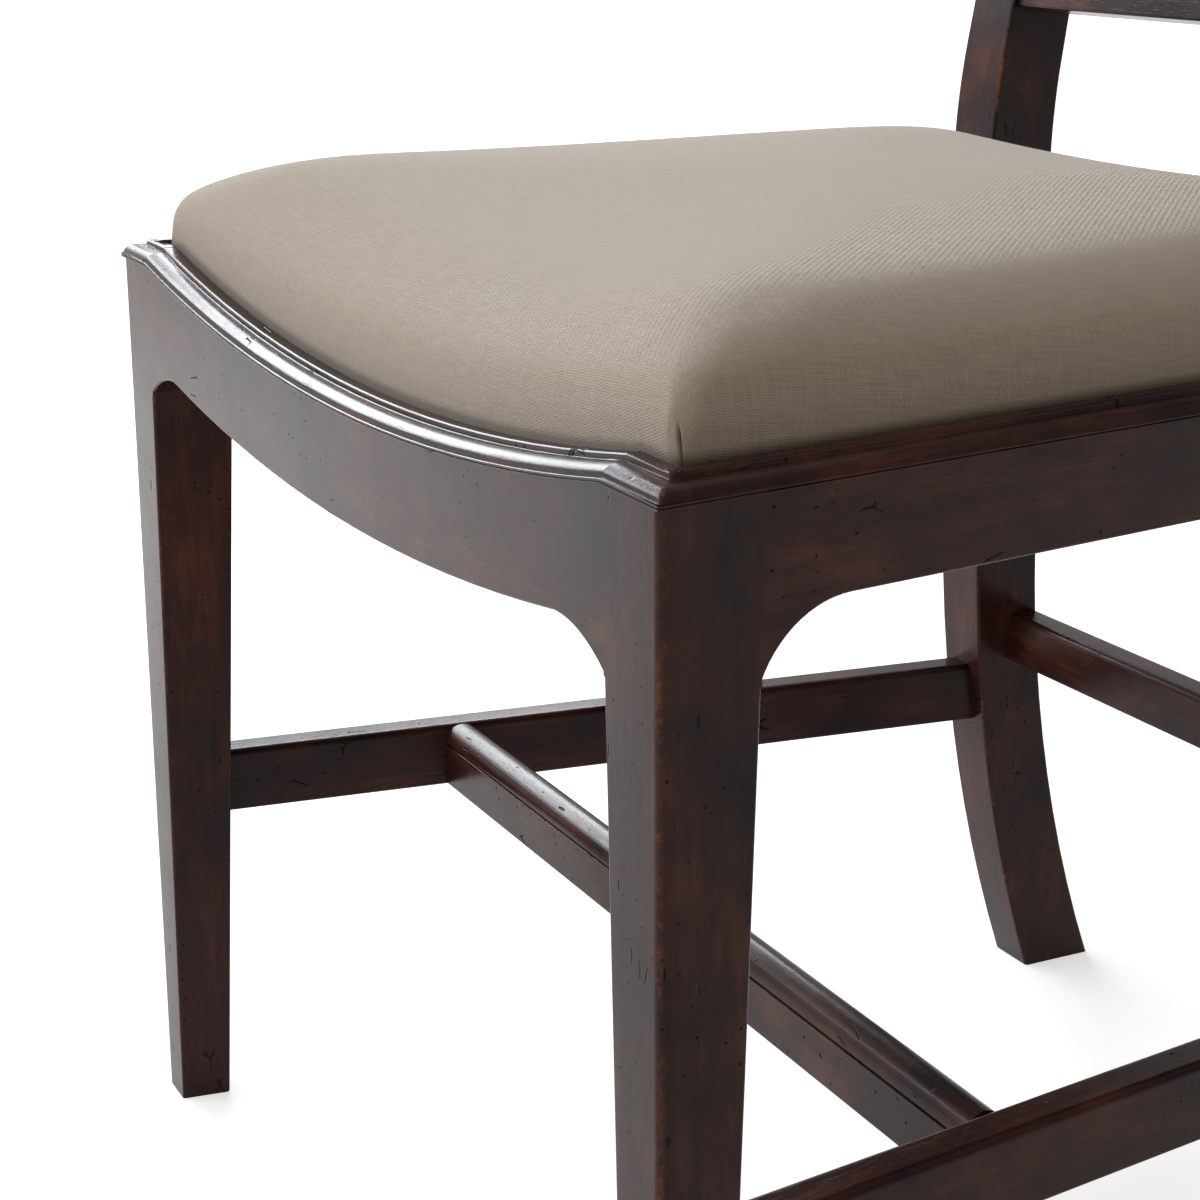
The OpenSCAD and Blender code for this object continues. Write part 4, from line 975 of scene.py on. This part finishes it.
# The stuffing below it, with a base that lies on the webbing
foam_rings = [moved_ring(k, -FOAM_IN) for k in range(crown_rings - 1)]
base_level = FOAM_BASE - FRAME_TOP
foam_rings.append([p for p, _ in ring_points(2.8, base_level + 0.3, 1.0, 0)])
for scale in (0.93, 0.8, 0.6, 0.4, 0.2):
    foam_rings.append([p for p, _ in ring_points(2.8, base_level + 0.25, scale, 0)])
foam = skin_of("seat_foam_wadding", foam_rings, pole_top - Vector((0, 0, FOAM_IN)),
               Vector((0, SEAT_MID, FOAM_BASE + 0.2 + dish(0, SEAT_MID))))
pick(foam)
bpy.ops.object.shade_smooth()
dress(foam, wadding)
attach(foam, "root")
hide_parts("seat_foam")
bpy.data.objects.remove(form, do_unlink=True)


# The dust cover: black cloth stretched under the seat frame, a little slack between its tacks
def dust_sheet():
    low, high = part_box("seat_dust_cover")
    bm = bmesh.new()
    points = nodes["seat_dust_cover"].data.vertices
    front = [v.co for v in points if v.co.y < low.y + 1e-4]
    rear = [v.co for v in points if v.co.y > high.y - 1e-4]
    half_front = max(p.x for p in front)
    half_rear = max(p.x for p in rear)
    nx, ny = 48, 44
    sag, pucker = 1.6 * MM, 0.25 * MM
    grid = []
    for j in range(ny + 1):
        y = low.y + (high.y - low.y) * j / ny
        half = half_front + (half_rear - half_front) * j / ny
        row = []
        for i in range(nx + 1):
            s = -1 + 2 * i / nx
            x = s * half
            z = (FRAME_Z - 0.75 + dish(x / MM, (y + FRONT) / MM)) * MM
            slack = (1 - s ** 4) * (1 - (2 * j / ny - 1) ** 4)
            pull = pucker * math.sin(i * math.pi / 3) * (1 - slack) * (abs(s) < 0.98)
            row.append(bm.verts.new((x, y, z - sag * slack - abs(pull))))
        grid.append(row)
    uv = bm.loops.layers.uv.new("cloth")
    for j in range(ny):
        for i in range(nx):
            face = bm.faces.new((grid[j][i], grid[j + 1][i], grid[j + 1][i + 1], grid[j][i + 1]))
            for loop in face.loops:
                loop[uv].uv = loop.vert.co.xy
    mesh = bpy.data.meshes.new("seat_dust_cover_cambric")
    bm.to_mesh(mesh)
    bm.free()
    piece = put_in("seat_dust_cover_cambric", mesh)
    thicken(piece, 0.5, 1)
    bpy.ops.object.shade_smooth()
    dress(piece, cambric)
    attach(piece, "root")
    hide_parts("seat_dust_cover")
    return piece


dust_sheet()


# ---------------------------------------------------------------- floor, lights, camera
def lay_floor():
    """Grey to the light that falls on the chair, and nearly white to the camera and in reflections."""
    bpy.ops.object.select_all(action="DESELECT")
    bpy.ops.mesh.primitive_plane_add(size=60, location=(0, 0, 0))
    floor = bpy.context.object
    floor.name = "floor"
    m = bpy.data.materials.new("white floor")
    m.use_nodes = True
    tree = m.node_tree
    shader = tree.nodes["Principled BSDF"]
    shader.inputs["Base Color"].default_value = (0.62, 0.62, 0.62, 1)
    shader.inputs["Roughness"].default_value = 0.9
    shader.inputs["Specular IOR Level"].default_value = 0.0
    path = tree.nodes.new("ShaderNodeLightPath")
    seen = maths(tree, "MAXIMUM", path.outputs["Is Camera Ray"],
                 maths(tree, "MAXIMUM", path.outputs["Is Glossy Ray"], path.outputs["Is Transmission Ray"]))
    shader.inputs["Emission Color"].default_value = (1, 1, 1, 1)
    far = tree.nodes.new("ShaderNodeVectorMath")
    far.operation = "LENGTH"
    feed(tree, far.inputs[0], place(tree))
    feed(tree, shader.inputs["Emission Strength"], maths(
        tree, "MULTIPLY", seen, span(tree, far.outputs["Value"], 0.6, 3.0, 0.6, 1.0)))
    floor.data.materials.append(m)


lay_floor()

# The room: white to the camera, and a warm light for the chair
world = bpy.data.worlds.new("studio")
bpy.context.scene.world = world
world.use_nodes = True
wt = world.node_tree
back = wt.nodes["Background"]
path = wt.nodes.new("ShaderNodeLightPath")
mirrored = maths(wt, "MAXIMUM", path.outputs["Is Glossy Ray"], path.outputs["Is Transmission Ray"])
seen = maths(wt, "MAXIMUM", path.outputs["Is Camera Ray"], mirrored)
towards = wt.nodes.new("ShaderNodeSeparateXYZ")
feed(wt, towards.inputs[0], place(wt, "Generated"))
behind = maths(wt, "MULTIPLY_ADD", towards.outputs[1], 0.9, times(wt, towards.outputs[0], 0.4))
falling = span(wt, behind, -0.5, 0.75, 1.3, 0.5)      # the room is darker behind the chair
feed(wt, back.inputs["Color"], blend(wt, seen, (1.0, 0.91, 0.82, 1), (1, 1, 1, 1)))
lit = times(wt, falling, maths(wt, "MULTIPLY_ADD", mirrored, 0.3, 0.5))
feed(wt, back.inputs["Strength"], maths(
    wt, "ADD", path.outputs["Is Camera Ray"],
    times(wt, lit, maths(wt, "SUBTRACT", 1.0, path.outputs["Is Camera Ray"]))))


def lamp(name, place_at, aim, size, watts, colour):
    light = bpy.data.lights.new(name, "AREA")
    light.shape = "RECTANGLE"
    light.size, light.size_y = size
    light.energy = watts
    light.color = colour
    o = put_in(name, light)
    o.location = place_at
    o.rotation_euler = (Vector(aim) - Vector(place_at)).to_track_quat("-Z", "Y").to_euler()


# Light from the front left, and a low strip on the left that the wood mirrors
lamp("window", (-1.5, -2.0, 2.1), (0, 0, 0.4), (1.6, 1.6), 33, (0.93, 0.96, 1.0))
lamp("side window", (-2.2, -0.1, 1.36), (0, -0.1, 0.46), (2.3, 0.48), 60, (0.90, 0.95, 1.0))

# The lens is shifted a little, as the upright edges in the photo are nearly parallel
yaw, pitch, roll = math.radians(63.92), math.radians(15.11), math.radians(-0.405)
ahead = Vector((-math.sin(yaw) * math.cos(pitch), math.cos(yaw) * math.cos(pitch), -math.sin(pitch)))
right = Vector((math.cos(yaw), math.sin(yaw), 0))
up = right.cross(ahead)
right_r = right * math.cos(roll) + up * math.sin(roll)
up_r = up * math.cos(roll) - right * math.sin(roll)
lens = bpy.data.cameras.new("camera")
lens.sensor_width = 36
lens.lens = 76.0
lens.shift_y = -0.0478
lens.clip_start = 0.01
camera = put_in("camera", lens)
turned = Matrix((right_r, up_r, -ahead)).transposed().to_4x4()
camera.matrix_world = Matrix.Translation((0.9122, -0.6083, 0.6193)) @ turned
bpy.context.scene.camera = camera
bpy.context.scene.view_settings.view_transform = "Standard"
